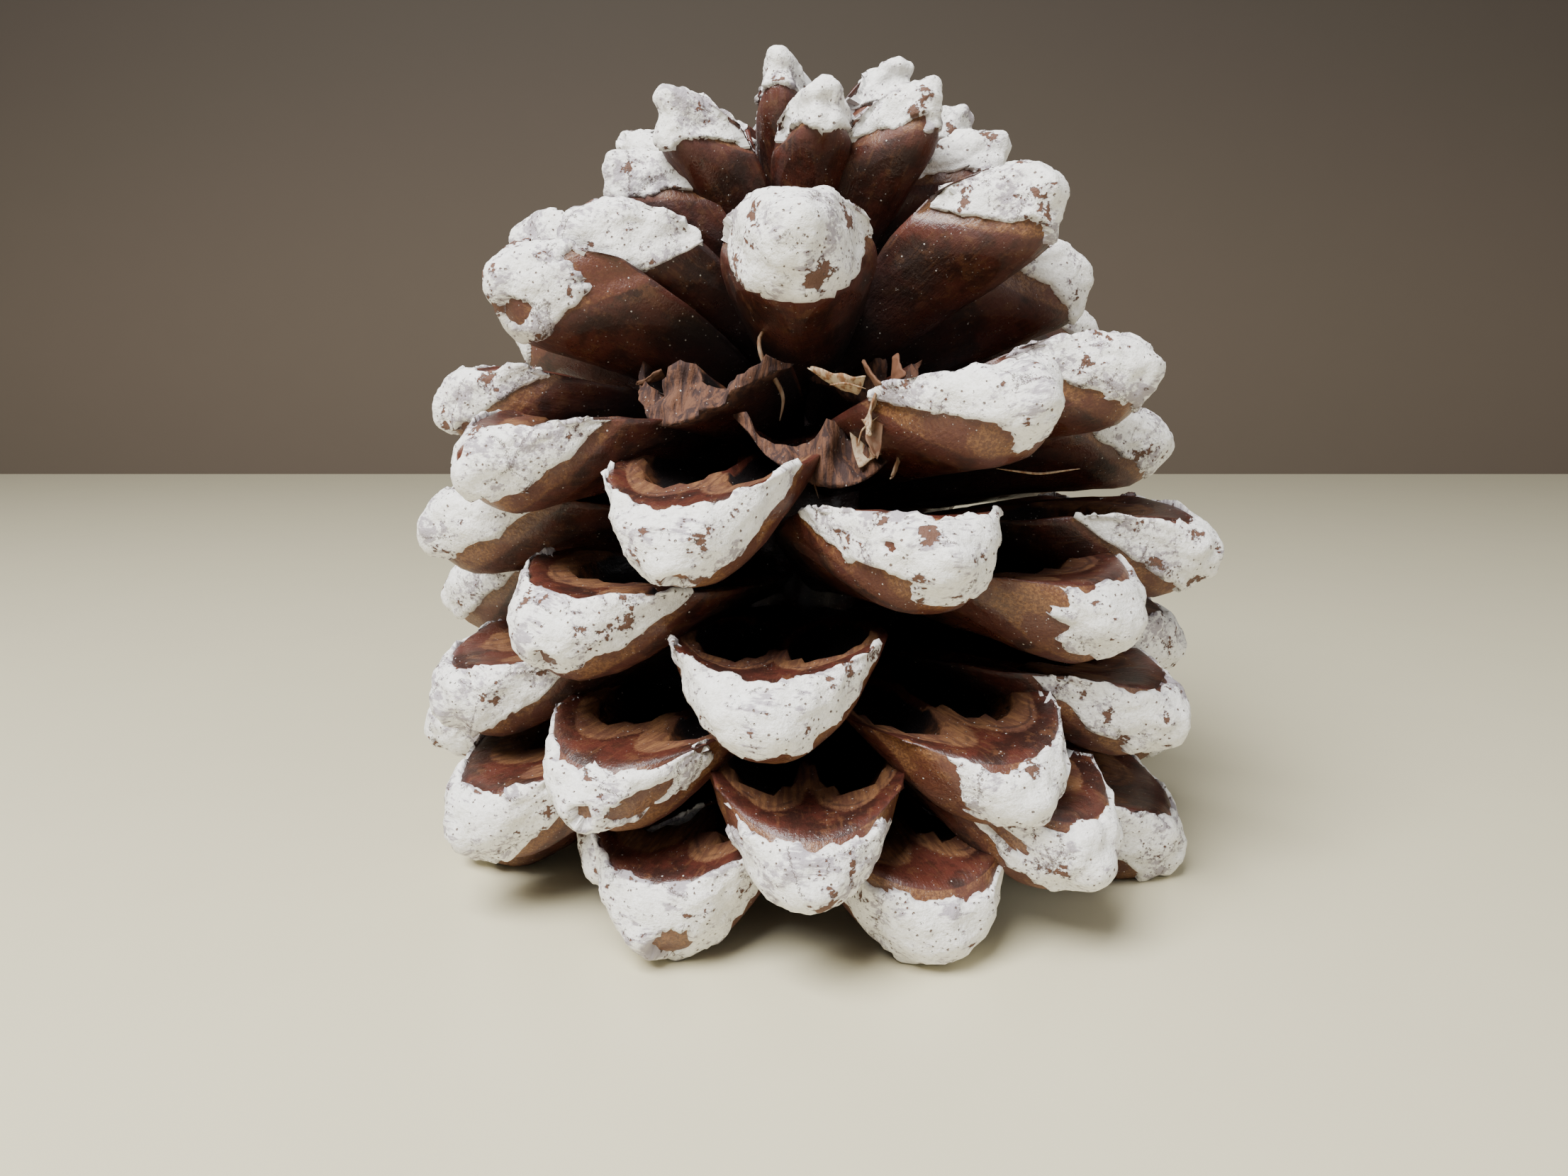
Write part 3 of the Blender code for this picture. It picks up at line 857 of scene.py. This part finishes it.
def scrap_sheet(place, heading, pitch, roll, length, width, curl, shift):
    """Points and faces of one thin ragged sheet that curls, in millimetres."""
    tall, wide = SCRAP_NET
    along, across = np.meshgrid(np.linspace(0, 1, tall), np.linspace(-1, 1, wide), indexing="ij")
    flat = np.stack((along * 3, across * 1.5, np.full_like(along, shift)), axis=-1).reshape(-1, 3)
    ragged = rough_noise(flat, 0.8).reshape(along.shape)
    half = width * 0.5 * (1 - along) ** 0.55 * (1 + 0.35 * ragged) + 0.06
    lift = curl * along * along + 0.12 * width * across * across + 0.3 * ragged
    own = np.stack((length * along * (1 + 0.12 * ragged), half * across, lift), axis=-1)
    turn = Matrix.Rotation(math.radians(heading), 3, "Z")
    turn = turn @ Matrix.Rotation(math.radians(-pitch), 3, "Y")
    turn = turn @ Matrix.Rotation(math.radians(roll), 3, "X")
    points = own.reshape(-1, 3) @ np.array(turn).T + np.array(place)
    points = points.reshape(tall, wide, 3)
    lift = np.cross(np.gradient(points, axis=0), np.gradient(points, axis=1))
    lift *= 0.08 / np.maximum(np.linalg.norm(lift, axis=2, keepdims=True), 1e-6)
    upper = np.arange(tall * wide).reshape(tall, wide)
    lower = upper + upper.size
    faces = net_faces(upper) + net_faces(lower[:, ::-1])
    around = [upper[0], upper[1:, -1], upper[-1, -2::-1], upper[-2:0:-1, 0]]
    around = np.concatenate(around).tolist()
    layer = tall * wide
    faces += [[b, a, a + layer, b + layer] for a, b in zip(around, around[1:] + around[:1])]
    return np.concatenate(((points + lift).reshape(-1, 3), (points - lift).reshape(-1, 3))), faces


def fibre_tube(radius, guides):
    """Points and faces of a bent fibre with fine ends, in millimetres."""
    guides = np.array(guides, float)
    rings, sides = FIBRE_NET
    at = np.linspace(0, len(guides) - 1, rings)
    line = np.stack([np.interp(at, np.arange(len(guides)), guides[:, k]) for k in range(3)], axis=-1)
    for _ in range(4):
        line[1:-1] = (line[:-2] + 2 * line[1:-1] + line[2:]) / 4
    ahead = np.gradient(line, axis=0)
    ahead /= np.linalg.norm(ahead, axis=1)[:, None]
    aside = np.cross(ahead, (0.3, 0.2, 1.0))
    aside /= np.linalg.norm(aside, axis=1)[:, None]
    above = np.cross(ahead, aside)
    thin = radius * np.clip(np.sin(np.pi * np.linspace(0, 1, rings)), 0.12, 1) ** 0.6
    turns = np.linspace(0, math.tau, sides, endpoint=False)
    rows = [
        line + (aside * math.cos(turn) + above * math.sin(turn)) * thin[:, None] for turn in turns
    ]
    points = np.concatenate((np.stack(rows, axis=1).reshape(-1, 3), line[:1], line[-1:]))
    return points, tube_faces(rings, sides)


def drop_wires(work):
    """Removes edges and points that no face uses."""
    for edge in [edge for edge in work.edges if not edge.link_faces]:
        work.edges.remove(edge)
    for vert in [vert for vert in work.verts if not vert.link_faces]:
        work.verts.remove(vert)
    work.edges.index_update()


def open_rims(work):
    """The open edges of a mesh, one list for each rim, always in the same order."""
    rims = []
    order = [edge for edge in work.edges if edge.is_boundary]
    left = set(order)
    for start in order:
        if start not in left:
            continue
        left.remove(start)
        rim = [start]
        for edge in rim:
            near = {other for vert in edge.verts for other in vert.link_edges} & left
            left -= near
            rim.extend(sorted(near, key=lambda other: other.index))
        rims.append(rim)
    return rims


def close_rims(piece):
    """Closes every open rim of the daubs with a fan to a point inside the wood."""
    work = bmesh.new()
    work.from_mesh(piece.data)
    drop_wires(work)
    facings = work.verts.layers.float_vector["facing"]
    sizes = work.verts.layers.float_vector["size"]
    for rim in open_rims(work):
        verts = list(dict.fromkeys(vert for edge in rim for vert in edge.verts))
        middle = sum((vert.co for vert in verts), Vector()) / len(verts)
        outward = sum((vert.normal for vert in verts), Vector()) / len(verts)
        inward = -outward * 0.8 * MM
        if max((vert.co - middle).length for vert in verts) > 4 * MM:
            facing = Euler(verts[0][facings]).to_matrix()
            inward = facing @ Vector((-1.5 * MM, 0, -0.36 * FACE_HEIGHT * verts[0][sizes][2]))
        point = work.verts.new(middle + inward)
        for edge in rim:
            loop = edge.link_loops[0]
            work.faces.new((loop.link_loop_next.vert, loop.vert, point))
    work.to_mesh(piece.data)
    work.free()


def settle(piece):
    """Ties a finished piece to the cone's frame."""
    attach(piece, "root")
    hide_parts("cone")


# Woods and paint. The numbers in a ramp are where it starts and ends and what it goes from and
# to. Sizes of clouds and cells are in millimetres.
DUST_COLOUR = (0.55, 0.52, 0.48, 1.0)
STAINED_PAINT = (0.76, 0.74, 0.70, 1.0)
PINHOLE_COLOUR = (0.17, 0.12, 0.10, 1.0)


def new_material(name):
    material = bpy.data.materials.new(name)
    material.use_nodes = True
    material.node_tree.nodes.clear()
    return material, Wires(material.node_tree)


def kept(wires, name):
    """A number that the mesh keeps for its material."""
    made = wires.node("ShaderNodeAttribute", attribute_name=name)
    return wires.signal(made.outputs["Fac"])


def grain_of(wires):
    return wires.node("ShaderNodeAttribute", attribute_name="grain").outputs["Vector"]


def surface(wires, colour, rough, bump, distance, specular=0.5):
    """The shader of a material, with a bump of so many millimetres."""
    lift = wires.node("ShaderNodeBump", {"Height": bump, "Distance": distance * MM, "Strength": 1.0})
    shader = wires.node("ShaderNodeBsdfPrincipled", {
        "Base Color": colour, "Roughness": rough, "Normal": lift.outputs[0],
        "Specular IOR Level": specular,
    })
    wires.node("ShaderNodeOutputMaterial", {"Surface": shader.outputs[0]})


def hollow_inside(share, aside):
    """Above 0 inside the two seed hollows, 1 at their middles."""
    along = (share - HOLLOW_AT) / HOLLOW_REACH
    wide = (aside - HOLLOW_ASIDE) / HOLLOW_HALF_WIDTH
    return 1.0 - along * along - wide * wide


class WoodMarks:
    """What every part of the wood's colour reads: the place on the scale and the noises."""

    def __init__(self, wires):
        self.grain = grain_of(wires)
        self.share = kept(wires, "along")
        self.aside = abs(kept(wires, "across"))
        self.outer = kept(wires, "outer")
        self.tone = kept(wires, "tone")
        self.torn = kept(wires, "torn")
        self.blotch = wires.cloud(self.grain, 5.0, 4.0, 0.6)
        self.fibres = wires.cloud(wires.stretched(self.grain, (0.12, 1.0, 1.0)), 0.55, 4.0, 0.6)
        self.speckle = wires.cloud(self.grain, 0.35, 3.0, 0.7)
        self.rubbed = wires.cloud(wires.shifted(self.grain, (0.0, 30.0, 0.0)), 2.2, 5.0, 0.7)
        self.wobble = (wires.cloud(self.grain, 3.0, 3.0, 0.6) - 0.5) * 0.32
        self.stripes = wires.cloud(wires.stretched(self.grain, (0.7, 1.0, 0.12)), 0.6, 3.0, 0.6)


def red_colour(wires, marks, settings):
    """Satin red-brown wood with a few pale fibres, rubbed in places."""
    red = wires.tint(wires.ramp(marks.blotch, 0.42, 0.62), settings.red_wood, settings.dark_wood)
    red = wires.tint(wires.ramp(marks.fibres, 0.54, 0.70, 0.0, 0.22), red, settings.tan_wood)
    red = wires.tint(wires.ramp(marks.rubbed, 0.53, 0.66, 0.0, 0.75), red, settings.ochre_wood)
    return wires.tint(wires.ramp(marks.rubbed, 0.46, 0.36, 0.0, 0.6), red, settings.dark_wood)


def seed_marks(wires, marks, settings, red):
    """Tan lobes with a dark line on the red wood, and how tan each point is."""
    tan = wires.tint(wires.ramp(marks.fibres, 0.38, 0.62), settings.tan_wood, settings.ochre_wood)
    tan = wires.tint(wires.ramp(marks.blotch, 0.46, 0.66, 0.0, 0.7), tan, settings.red_wood)
    along = (marks.share - 0.70) / 0.22
    wide = (marks.aside - 0.44) / 0.47
    lobes = 1.0 - along * along - wide * wide + marks.wobble
    tan_share = wires.ramp(lobes + (marks.speckle - 0.5) * 0.3, 0.0, 0.16, 0.0, 0.9)
    line = wires.ramp(abs(lobes - 0.30), 0.08, 0.02, 0.0, 0.6) * wires.ramp(marks.tone, 0.3, 0.5)
    line = line * wires.ramp(marks.blotch, 0.40, 0.55)
    return wires.tint(line, wires.tint(tan_share, red, tan), settings.dark_wood), tan_share


def hollow_colour(wires, marks, settings):
    """Near-black seed hollows with streaked walls and painted shade towards the root, and how far each point
    lies in a hollow or in that shade.
    """
    inside = hollow_inside(marks.share, marks.aside) + marks.wobble * 0.12
    # Painted shade: the seed side turns near black towards the root, deep in the cone.
    root_shade = wires.ramp(marks.share, 0.36, 0.20, 0.0, 0.9)
    hollow_and_root_shade = wires.larger(wires.ramp(inside, -0.06, 0.05), root_shade)
    wall = wires.ramp(inside, 0.62, 0.30) * wires.ramp(marks.share, 0.63, 0.71)
    wall = wall * wires.ramp(marks.stripes, 0.38, 0.62, 0.25, 1.0)
    return wires.tint(wall, settings.hollow_and_shade_wood, settings.ochre_wood), hollow_and_root_shade


def outer_colour(wires, marks, settings, red):
    """Red wood with a matte bare end, and painted shade that darkens it towards the root and in the gaps
    between the scales.
    """
    end = wires.ramp(marks.share + (marks.blotch - 0.5) * 0.05, 0.853, 0.862)
    ochre = wires.tint(wires.ramp(marks.speckle, 0.42, 0.62), settings.ochre_wood, settings.tan_wood)
    ochre = wires.tint(wires.ramp(marks.blotch, 0.44, 0.58, 0.0, 0.8), ochre, settings.red_wood)
    under = wires.tint(end, red, ochre)
    # Painted shade: the outer side turns near black towards the root, deep in the cone.
    under = wires.tint(wires.ramp(marks.share, 0.66, 0.25, 0.0, 0.88), under, settings.hollow_and_shade_wood)
    # Painted shade between the scales: darker near the sides of a scale, away from its end.
    gap_shade = wires.ramp(marks.aside, 0.45, 0.95) * wires.ramp(marks.share, 0.80, 0.55, 0.0, 0.85)
    return wires.tint(gap_shade, under, settings.hollow_and_shade_wood)


def dust_specks(wires, marks):
    """Single pale specks, and a finer film where the wood is rubbed."""
    coarse = wires.ramp(wires.cells(marks.grain, 1.3), 0.10, 0.06)
    fine = wires.ramp(wires.cells(marks.grain, 0.6), 0.16, 0.08)
    film = fine * wires.ramp(marks.rubbed, 0.48, 0.55, 0.0, 0.45)
    return wires.larger(coarse * wires.ramp(marks.blotch, 0.50, 0.54), film)


def wood_material(settings):
    """Satin red-brown scales, tan seed marks, near-black hollows and matte bare ends, with painted shade at
    the roots and between the scales.
    """
    material, wires = new_material("woody_scale")
    marks = WoodMarks(wires)
    red = red_colour(wires, marks, settings)
    colour, tan_share = seed_marks(wires, marks, settings, red)
    pit, hollow_and_root_shade = hollow_colour(wires, marks, settings)
    colour = wires.tint(hollow_and_root_shade, colour, pit)
    under = outer_colour(wires, marks, settings, red)
    colour = wires.tint(wires.ramp(marks.outer, 0.45, 0.55), colour, under)
    shreds = wires.ramp(marks.stripes, 0.40, 0.60)
    shreds = wires.tint(shreds, settings.dark_wood, settings.ochre_wood)
    colour = wires.tint(marks.torn, colour, shreds)
    dust = dust_specks(wires, marks)
    colour = wires.tint(dust, colour, DUST_COLOUR)

    rough = wires.blend(tan_share, 0.36, 0.62)
    rough = wires.blend(hollow_and_root_shade, rough, 0.30) + (marks.blotch - 0.5) * 0.25
    rough = wires.blend(marks.torn, rough, 0.85)
    relief = marks.fibres * 0.8 + marks.speckle * 0.5 + marks.rubbed * 1.2
    bump = relief + dust * 0.5 + marks.torn * marks.stripes * 2.0
    surface(wires, colour, rough, bump, 0.12)
    return material


def paint_material(settings):
    """Chalky off-white paint with thin grey smudges, brown scuffs, pinholes and cracks."""
    material, wires = new_material("chalky_paint")
    grain = grain_of(wires)
    cover = kept(wires, "cover")
    broad = wires.cloud(grain, 5.5, 3.0, 0.6)
    brush = wires.cloud(wires.stretched(grain, (1.0, 0.22, 1.0)), 0.55, 4.0, 0.65)
    crumb = wires.cloud(grain, 0.45, 4.0, 0.7)
    pits = wires.ramp(wires.cells(grain, 0.8), 0.22, 0.13) * wires.ramp(crumb, 0.48, 0.53)
    specks = wires.ramp(wires.cells(wires.shifted(grain, (9.0, 0.0, 0.0)), 1.9), 0.10, 0.05)
    specks = specks * wires.ramp(broad, 0.50, 0.54, 0.0, 0.8)

    colour = wires.tint(wires.ramp(crumb, 0.4, 0.65), settings.paint, STAINED_PAINT)
    share = kept(wires, "along")
    outer = kept(wires, "outer")
    at_lip = wires.ramp(share, 0.955, 1.0, 0.0, 0.06) * wires.ramp(outer, 0.9, 0.5, 0.3, 1.0)
    thin = wires.ramp(broad + at_lip + (brush - 0.5) * 0.7, 0.525, 0.65, 0.0, 0.9)
    colour = wires.tint(thin, colour, settings.thin_paint)
    scuffed = wires.cloud(wires.shifted(grain, (40.0, 0.0, 0.0)), 3.6, 4.0, 0.65)
    scuffs = wires.ramp(scuffed + (brush - 0.5) * 0.35, 0.625, 0.645, 0.0, 0.95)
    rubbed = wires.ramp(scuffed + (brush - 0.5) * 0.5, 0.575, 0.64, 0.0, 0.75)
    colour = wires.tint(rubbed, colour, settings.thin_paint)
    colour = wires.tint(scuffs, colour, settings.ochre_wood)
    edge = wires.ramp(cover, 0.30, 0.0, 0.0, 0.45)
    colour = wires.tint(edge, colour, settings.thin_paint)
    bent = wires.shifted(grain, wires.node("ShaderNodeTexNoise", {"Vector": grain}).outputs["Color"])
    cracks = wires.ramp(wires.cells(bent, 7.0, "DISTANCE_TO_EDGE"), 0.010, 0.003)
    cracks = cracks * wires.ramp(broad, 0.50, 0.55)
    marks = wires.larger(wires.larger(pits, specks), cracks * 0.8)
    colour = wires.tint(marks, colour, PINHOLE_COLOUR)

    stucco = wires.cloud(grain, 1.1, 4.0, 0.65)
    bump = brush * 0.5 + crumb * 0.45 + stucco * 1.2 - marks * 0.8 - scuffs * 0.8
    surface(wires, colour, 0.72, bump, 0.22, 0.35)
    return material


def scrap_material(settings):
    """Dry papery wood, from cream to brown."""
    material, wires = new_material("papery_scrap")
    grain = grain_of(wires)
    tone = kept(wires, "tone")
    streaks = wires.cloud(wires.stretched(grain, (1.0, 1.0, 0.3)), 0.6, 3.0, 0.6)
    cream = wires.tint(wires.ramp(streaks, 0.4, 0.65), settings.scrap, settings.tan_wood)
    colour = wires.tint(tone, cream, settings.ochre_wood)
    surface(wires, colour, 0.75, streaks, 0.1, 0.3)
    return material


# The stage


def plain_material(name, colour, rough, lumps, top_shade=0.0):
    """A plain finish with a faint unevenness and, if asked, painted shade that darkens it upward, for floor
    and backdrop.
    """
    material, wires = new_material(name)
    where = wires.node("ShaderNodeTexCoord").outputs["Object"]
    cloud = wires.signal(wires.node("ShaderNodeTexNoise", {"Vector": where, "Scale": 60.0}).outputs[0])
    shade = tuple(value * 0.93 for value in colour[:3]) + (1.0,)
    height = wires.signal(wires.node("ShaderNodeSeparateXYZ", {0: where}).outputs[2])
    tinted = wires.tint(cloud * 0.5, colour, shade)
    # Painted shade: darker towards black from 4 cm up to 30 cm high.
    tinted = wires.tint(wires.ramp(height, 0.04, 0.30, 0.0, top_shade), tinted, (0.0, 0.0, 0.0, 1.0))
    surface(wires, tinted, rough, cloud, lumps)
    return material


def flat_sheet(name, corners, material):
    mesh = bpy.data.meshes.new(name)
    mesh.from_pydata(corners, [], [(0, 1, 2, 3)])
    mesh.materials.append(material)
    linked(name, mesh)


def soft_light(name, power, size, place, aim):
    lamp = bpy.data.lights.new(name, "AREA")
    lamp.energy = power
    lamp.size = size
    light = linked(name, lamp)
    light.location = place
    light.rotation_euler = (Vector(aim) - Vector(place)).to_track_quat("-Z", "Y").to_euler()


def depth_setting(name, description, depth, least=0.0):
    return bpy.props.FloatProperty(name=name, description=description, default=depth, min=least)


def colour_setting(name, description, colour):
    return bpy.props.FloatVectorProperty(
        name=name, description=description, subtype="COLOR", size=4, default=(*colour, 1.0)
    )


class ConeSettings(bpy.types.PropertyGroup):
    """Sizes and colours of the cone that a user would change."""

    lumps: depth_setting("Lumps", "Unevenness of the scales, in millimetres", 0.9)
    wrinkles: depth_setting("Wrinkles", "Depth of the fibres, in millimetres", 0.3)
    thickness: depth_setting(
        "Paint thickness", "Usual thickness of the daubs, in millimetres", 0.45, 0.1
    )
    red_wood: colour_setting("Red wood", "Satin band behind the lip and the underside", (0.074, 0.020, 0.013))
    dark_wood: colour_setting("Dark wood", "Deeper patches of the red wood", (0.028, 0.010, 0.007))
    tan_wood: colour_setting("Tan wood", "Marks that the seeds' wings left", (0.205, 0.094, 0.038))
    ochre_wood: colour_setting("Ochre wood", "Bare matte wood of the end faces", (0.108, 0.044, 0.021))
    # This near-black colour is the seed hollows' own, and also the painted shade at the scales' roots,
    # between the scales and on the core.
    hollow_and_shade_wood: colour_setting(
        "Hollow wood", "Seed hollows and the roots of the scales", (0.013, 0.010, 0.010)
    )
    paint: colour_setting("Paint", "Chalky paint on the scale ends", (0.90, 0.885, 0.85))
    scrap: colour_setting("Scraps", "Papery scraps where scales tore", (0.46, 0.36, 0.24))
    thin_paint: colour_setting("Thin paint", "Paint where the wood shows through", (0.34, 0.30, 0.33))


def chosen_scales(tier, daubed):
    first, last = TIERS[tier]
    if daubed:
        first = max(first, FIRST_DAUBED)
    return [index for index in range(first, last + 1) if index not in BROKEN]


def grow_tiers(kind, tree, shape, material, numbers):
    """Grows a piece for each tier from one shape, and hands back the pieces."""
    places = spiral()
    values = {"Shape": shape, "Material": material, **numbers}
    pieces = []
    for tier in TIERS:
        chosen = chosen_scales(tier, kind == "daubs")
        points = spiral_points(f"{tier}_spiral", places, chosen)
        pieces.append(grow(f"{tier}_{kind}", points, tree, values))
    bpy.data.objects.remove(shape, do_unlink=True)
    return pieces


class CONE_OT_scales(bpy.types.Operator):
    """Grows the woody scales in three tiers"""

    bl_idname = "cone.scales"
    bl_label = "Scales"

    def execute(self, context):
        settings = context.scene.cone_settings
        material = wood_material(settings)
        rows = even_rows((0.0, 0.14, 2), (0.14, 0.50, 14), (0.50, 1.0, 12))
        shape = scale_shape("scale_shape", rows, rim_columns(31))
        numbers = {"Lumps": settings.lumps, "Wrinkles": settings.wrinkles}
        for piece in grow_tiers("scales", scale_tree(), shape, material, numbers):
            rest_on_floor(piece)
            settle(piece)
        return {"FINISHED"}


class CONE_OT_core(bpy.types.Operator):
    """Makes the woody axis that every scale grows from"""

    bl_idname = "cone.core"
    bl_label = "Core"

    def execute(self, context):
        points, faces = core_points()
        material = wood_material(context.scene.cone_settings)
        piece = new_piece("core", points * MM, faces, material)
        turned_outward(piece)
        count = len(points)
        mark(piece.data, "grain", points, "FLOAT_VECTOR")
        # The core's share of 0.36 on the outer side puts it in the painted shade of the scales' roots.
        mark(piece.data, "along", np.full(count, 0.36))
        mark(piece.data, "outer", np.ones(count))
        settle(piece)
        return {"FINISHED"}


class CONE_OT_stubs(bpy.types.Operator):
    """Makes the torn stubs of the scales that have snapped off"""

    bl_idname = "cone.stubs"
    bl_label = "Stubs"

    def execute(self, context):
        material = wood_material(context.scene.cone_settings)
        places = spiral()
        points, faces, marks = [], [], {}
        for index, last_row in BROKEN.items():
            root, facing, length, width, thick = places[index]
            shift = (index * 3.7, index * 1.9, 0)
            size_mm = (length / MM, width / MM, thick / MM)
            own, corners, own_marks = torn_scale(last_row, *size_mm, shift)
            first = sum(len(part) for part in points)
            points.append(own @ np.array(facing).T * MM + np.array(root))
            faces += [[first + corner for corner in face] for face in corners]
            for key, values in (*own_marks.items(), ("grain", own + shift)):
                marks.setdefault(key, []).append(values)
        piece = new_piece("stubs", np.concatenate(points), faces, material)
        for key, values in marks.items():
            kind = "FLOAT_VECTOR" if key == "grain" else "FLOAT"
            mark(piece.data, key, np.concatenate(values), kind)
        turned_outward(piece)
        settle(piece)
        return {"FINISHED"}


class CONE_OT_scraps(bpy.types.Operator):
    """Makes the papery scraps and loose fibres where scales tore"""

    bl_idname = "cone.scraps"
    bl_label = "Scraps"

    def execute(self, context):
        shapes = []
        for index, (*shape, tone) in enumerate(SCRAPS):
            shapes.append((tone, *scrap_sheet(*shape, index * 7.3)))
        for radius, tone, guides in FIBRES:
            shapes.append((tone, *fibre_tube(radius, guides)))
        points, faces, tones = [], [], []
        for tone, own, corners in shapes:
            first = len(tones)
            points.append(own)
            faces += [[first + corner for corner in face] for face in corners]
            tones += [tone] * len(own)
        points = np.concatenate(points)
        piece = new_piece("scraps", points * MM, faces, scrap_material(context.scene.cone_settings))
        mark(piece.data, "grain", points, "FLOAT_VECTOR")
        mark(piece.data, "tone", tones)
        turned_outward(piece)
        settle(piece)
        return {"FINISHED"}


class CONE_OT_daubs(bpy.types.Operator):
    """Daubs thick white paint on the ends of the scales"""

    bl_idname = "cone.daubs"
    bl_label = "Daubs"

    def execute(self, context):
        settings = context.scene.cone_settings
        material = paint_material(settings)
        rows = even_rows((0.52, 0.6, 4), (0.6, 1.0, 30))
        shape = scale_shape("daub_shape", np.insert(rows, 0, 0.0), rim_columns(57), 0.7, 3)
        numbers = {"Thickness": settings.thickness, "Lumps": settings.lumps}
        for piece in grow_tiers("daubs", daub_tree(), shape, material, numbers):
            close_rims(piece)
            rest_on_floor(piece)
            settle(piece)
        return {"FINISHED"}


class CONE_OT_stage(bpy.types.Operator):
    """Sets up the floor, the backdrop, the lights and the camera"""

    bl_idname = "cone.stage"
    bl_label = "Stage"

    def execute(self, context):
        pale = plain_material("pale_floor", (0.62, 0.57, 0.40, 1.0), 0.38, 0.02)
        # The backdrop's painted shade darkens its upper part.
        taupe = plain_material("taupe_backdrop", (0.092, 0.069, 0.048, 1.0), 0.8, 0.02, 0.55)
        side, back, top = FLOOR_HALF, BACKDROP_AT, BACKDROP_TALL
        foot = [(-side, back, 0), (side, back, 0)]
        flat_sheet("floor", [(-side, -side, 0), (side, -side, 0), *reversed(foot)], pale)
        flat_sheet("backdrop", [*foot, (side, back, top), (-side, back, top)], taupe)
        soft_light("key", 12.5, 0.36, (-0.22, -0.30, 0.55), (0, 0, 0.05))
        soft_light("fill", 1.3, 0.6, (0.55, -0.20, 0.35), (0, 0, 0.05))
        world = bpy.data.worlds.new("soft_room")
        world.use_nodes = True
        world.node_tree.nodes["Background"].inputs[0].default_value = (0.80, 0.82, 0.86, 1.0)
        world.node_tree.nodes["Background"].inputs[1].default_value = 0.29
        context.scene.world = world
        view = bpy.data.cameras.new("camera")
        view.sensor_width = 36.0
        view.lens = CAMERA_LENS
        view.clip_start = 0.005
        camera = linked("camera", view)
        camera.location = CAMERA_AT
        camera.rotation_euler = (math.radians(90 - CAMERA_DOWN), 0.0, 0.0)
        context.scene.camera = camera
        return {"FINISHED"}


class CONE_PT_panel(bpy.types.Panel):
    """Buttons for the pieces of the cone"""

    bl_idname = "CONE_PT_panel"
    bl_label = "Pine cone"
    bl_space_type = "VIEW_3D"
    bl_region_type = "UI"
    bl_category = "Pine cone"

    def draw(self, context):
        settings = context.scene.cone_settings
        for name in settings.bl_rna.properties.keys():
            if name not in ("rna_type", "name"):
                self.layout.prop(settings, name)
        for operator in OPERATORS:
            self.layout.operator(operator.bl_idname)


OPERATORS = (CONE_OT_stage, CONE_OT_core, CONE_OT_scales, CONE_OT_stubs, CONE_OT_scraps, CONE_OT_daubs)
CLASSES = (ConeSettings, *OPERATORS, CONE_PT_panel)


def register():
    for cls in CLASSES:
        bpy.utils.register_class(cls)
    bpy.types.Scene.cone_settings = bpy.props.PointerProperty(type=ConeSettings)


def unregister():
    del bpy.types.Scene.cone_settings
    for cls in reversed(CLASSES):
        bpy.utils.unregister_class(cls)


def main():
    register()
    bpy.ops.cone.stage()
    bpy.ops.cone.core()
    bpy.ops.cone.scales()
    bpy.ops.cone.stubs()
    bpy.ops.cone.scraps()
    bpy.ops.cone.daubs()


if __name__ == "__main__":
    main()
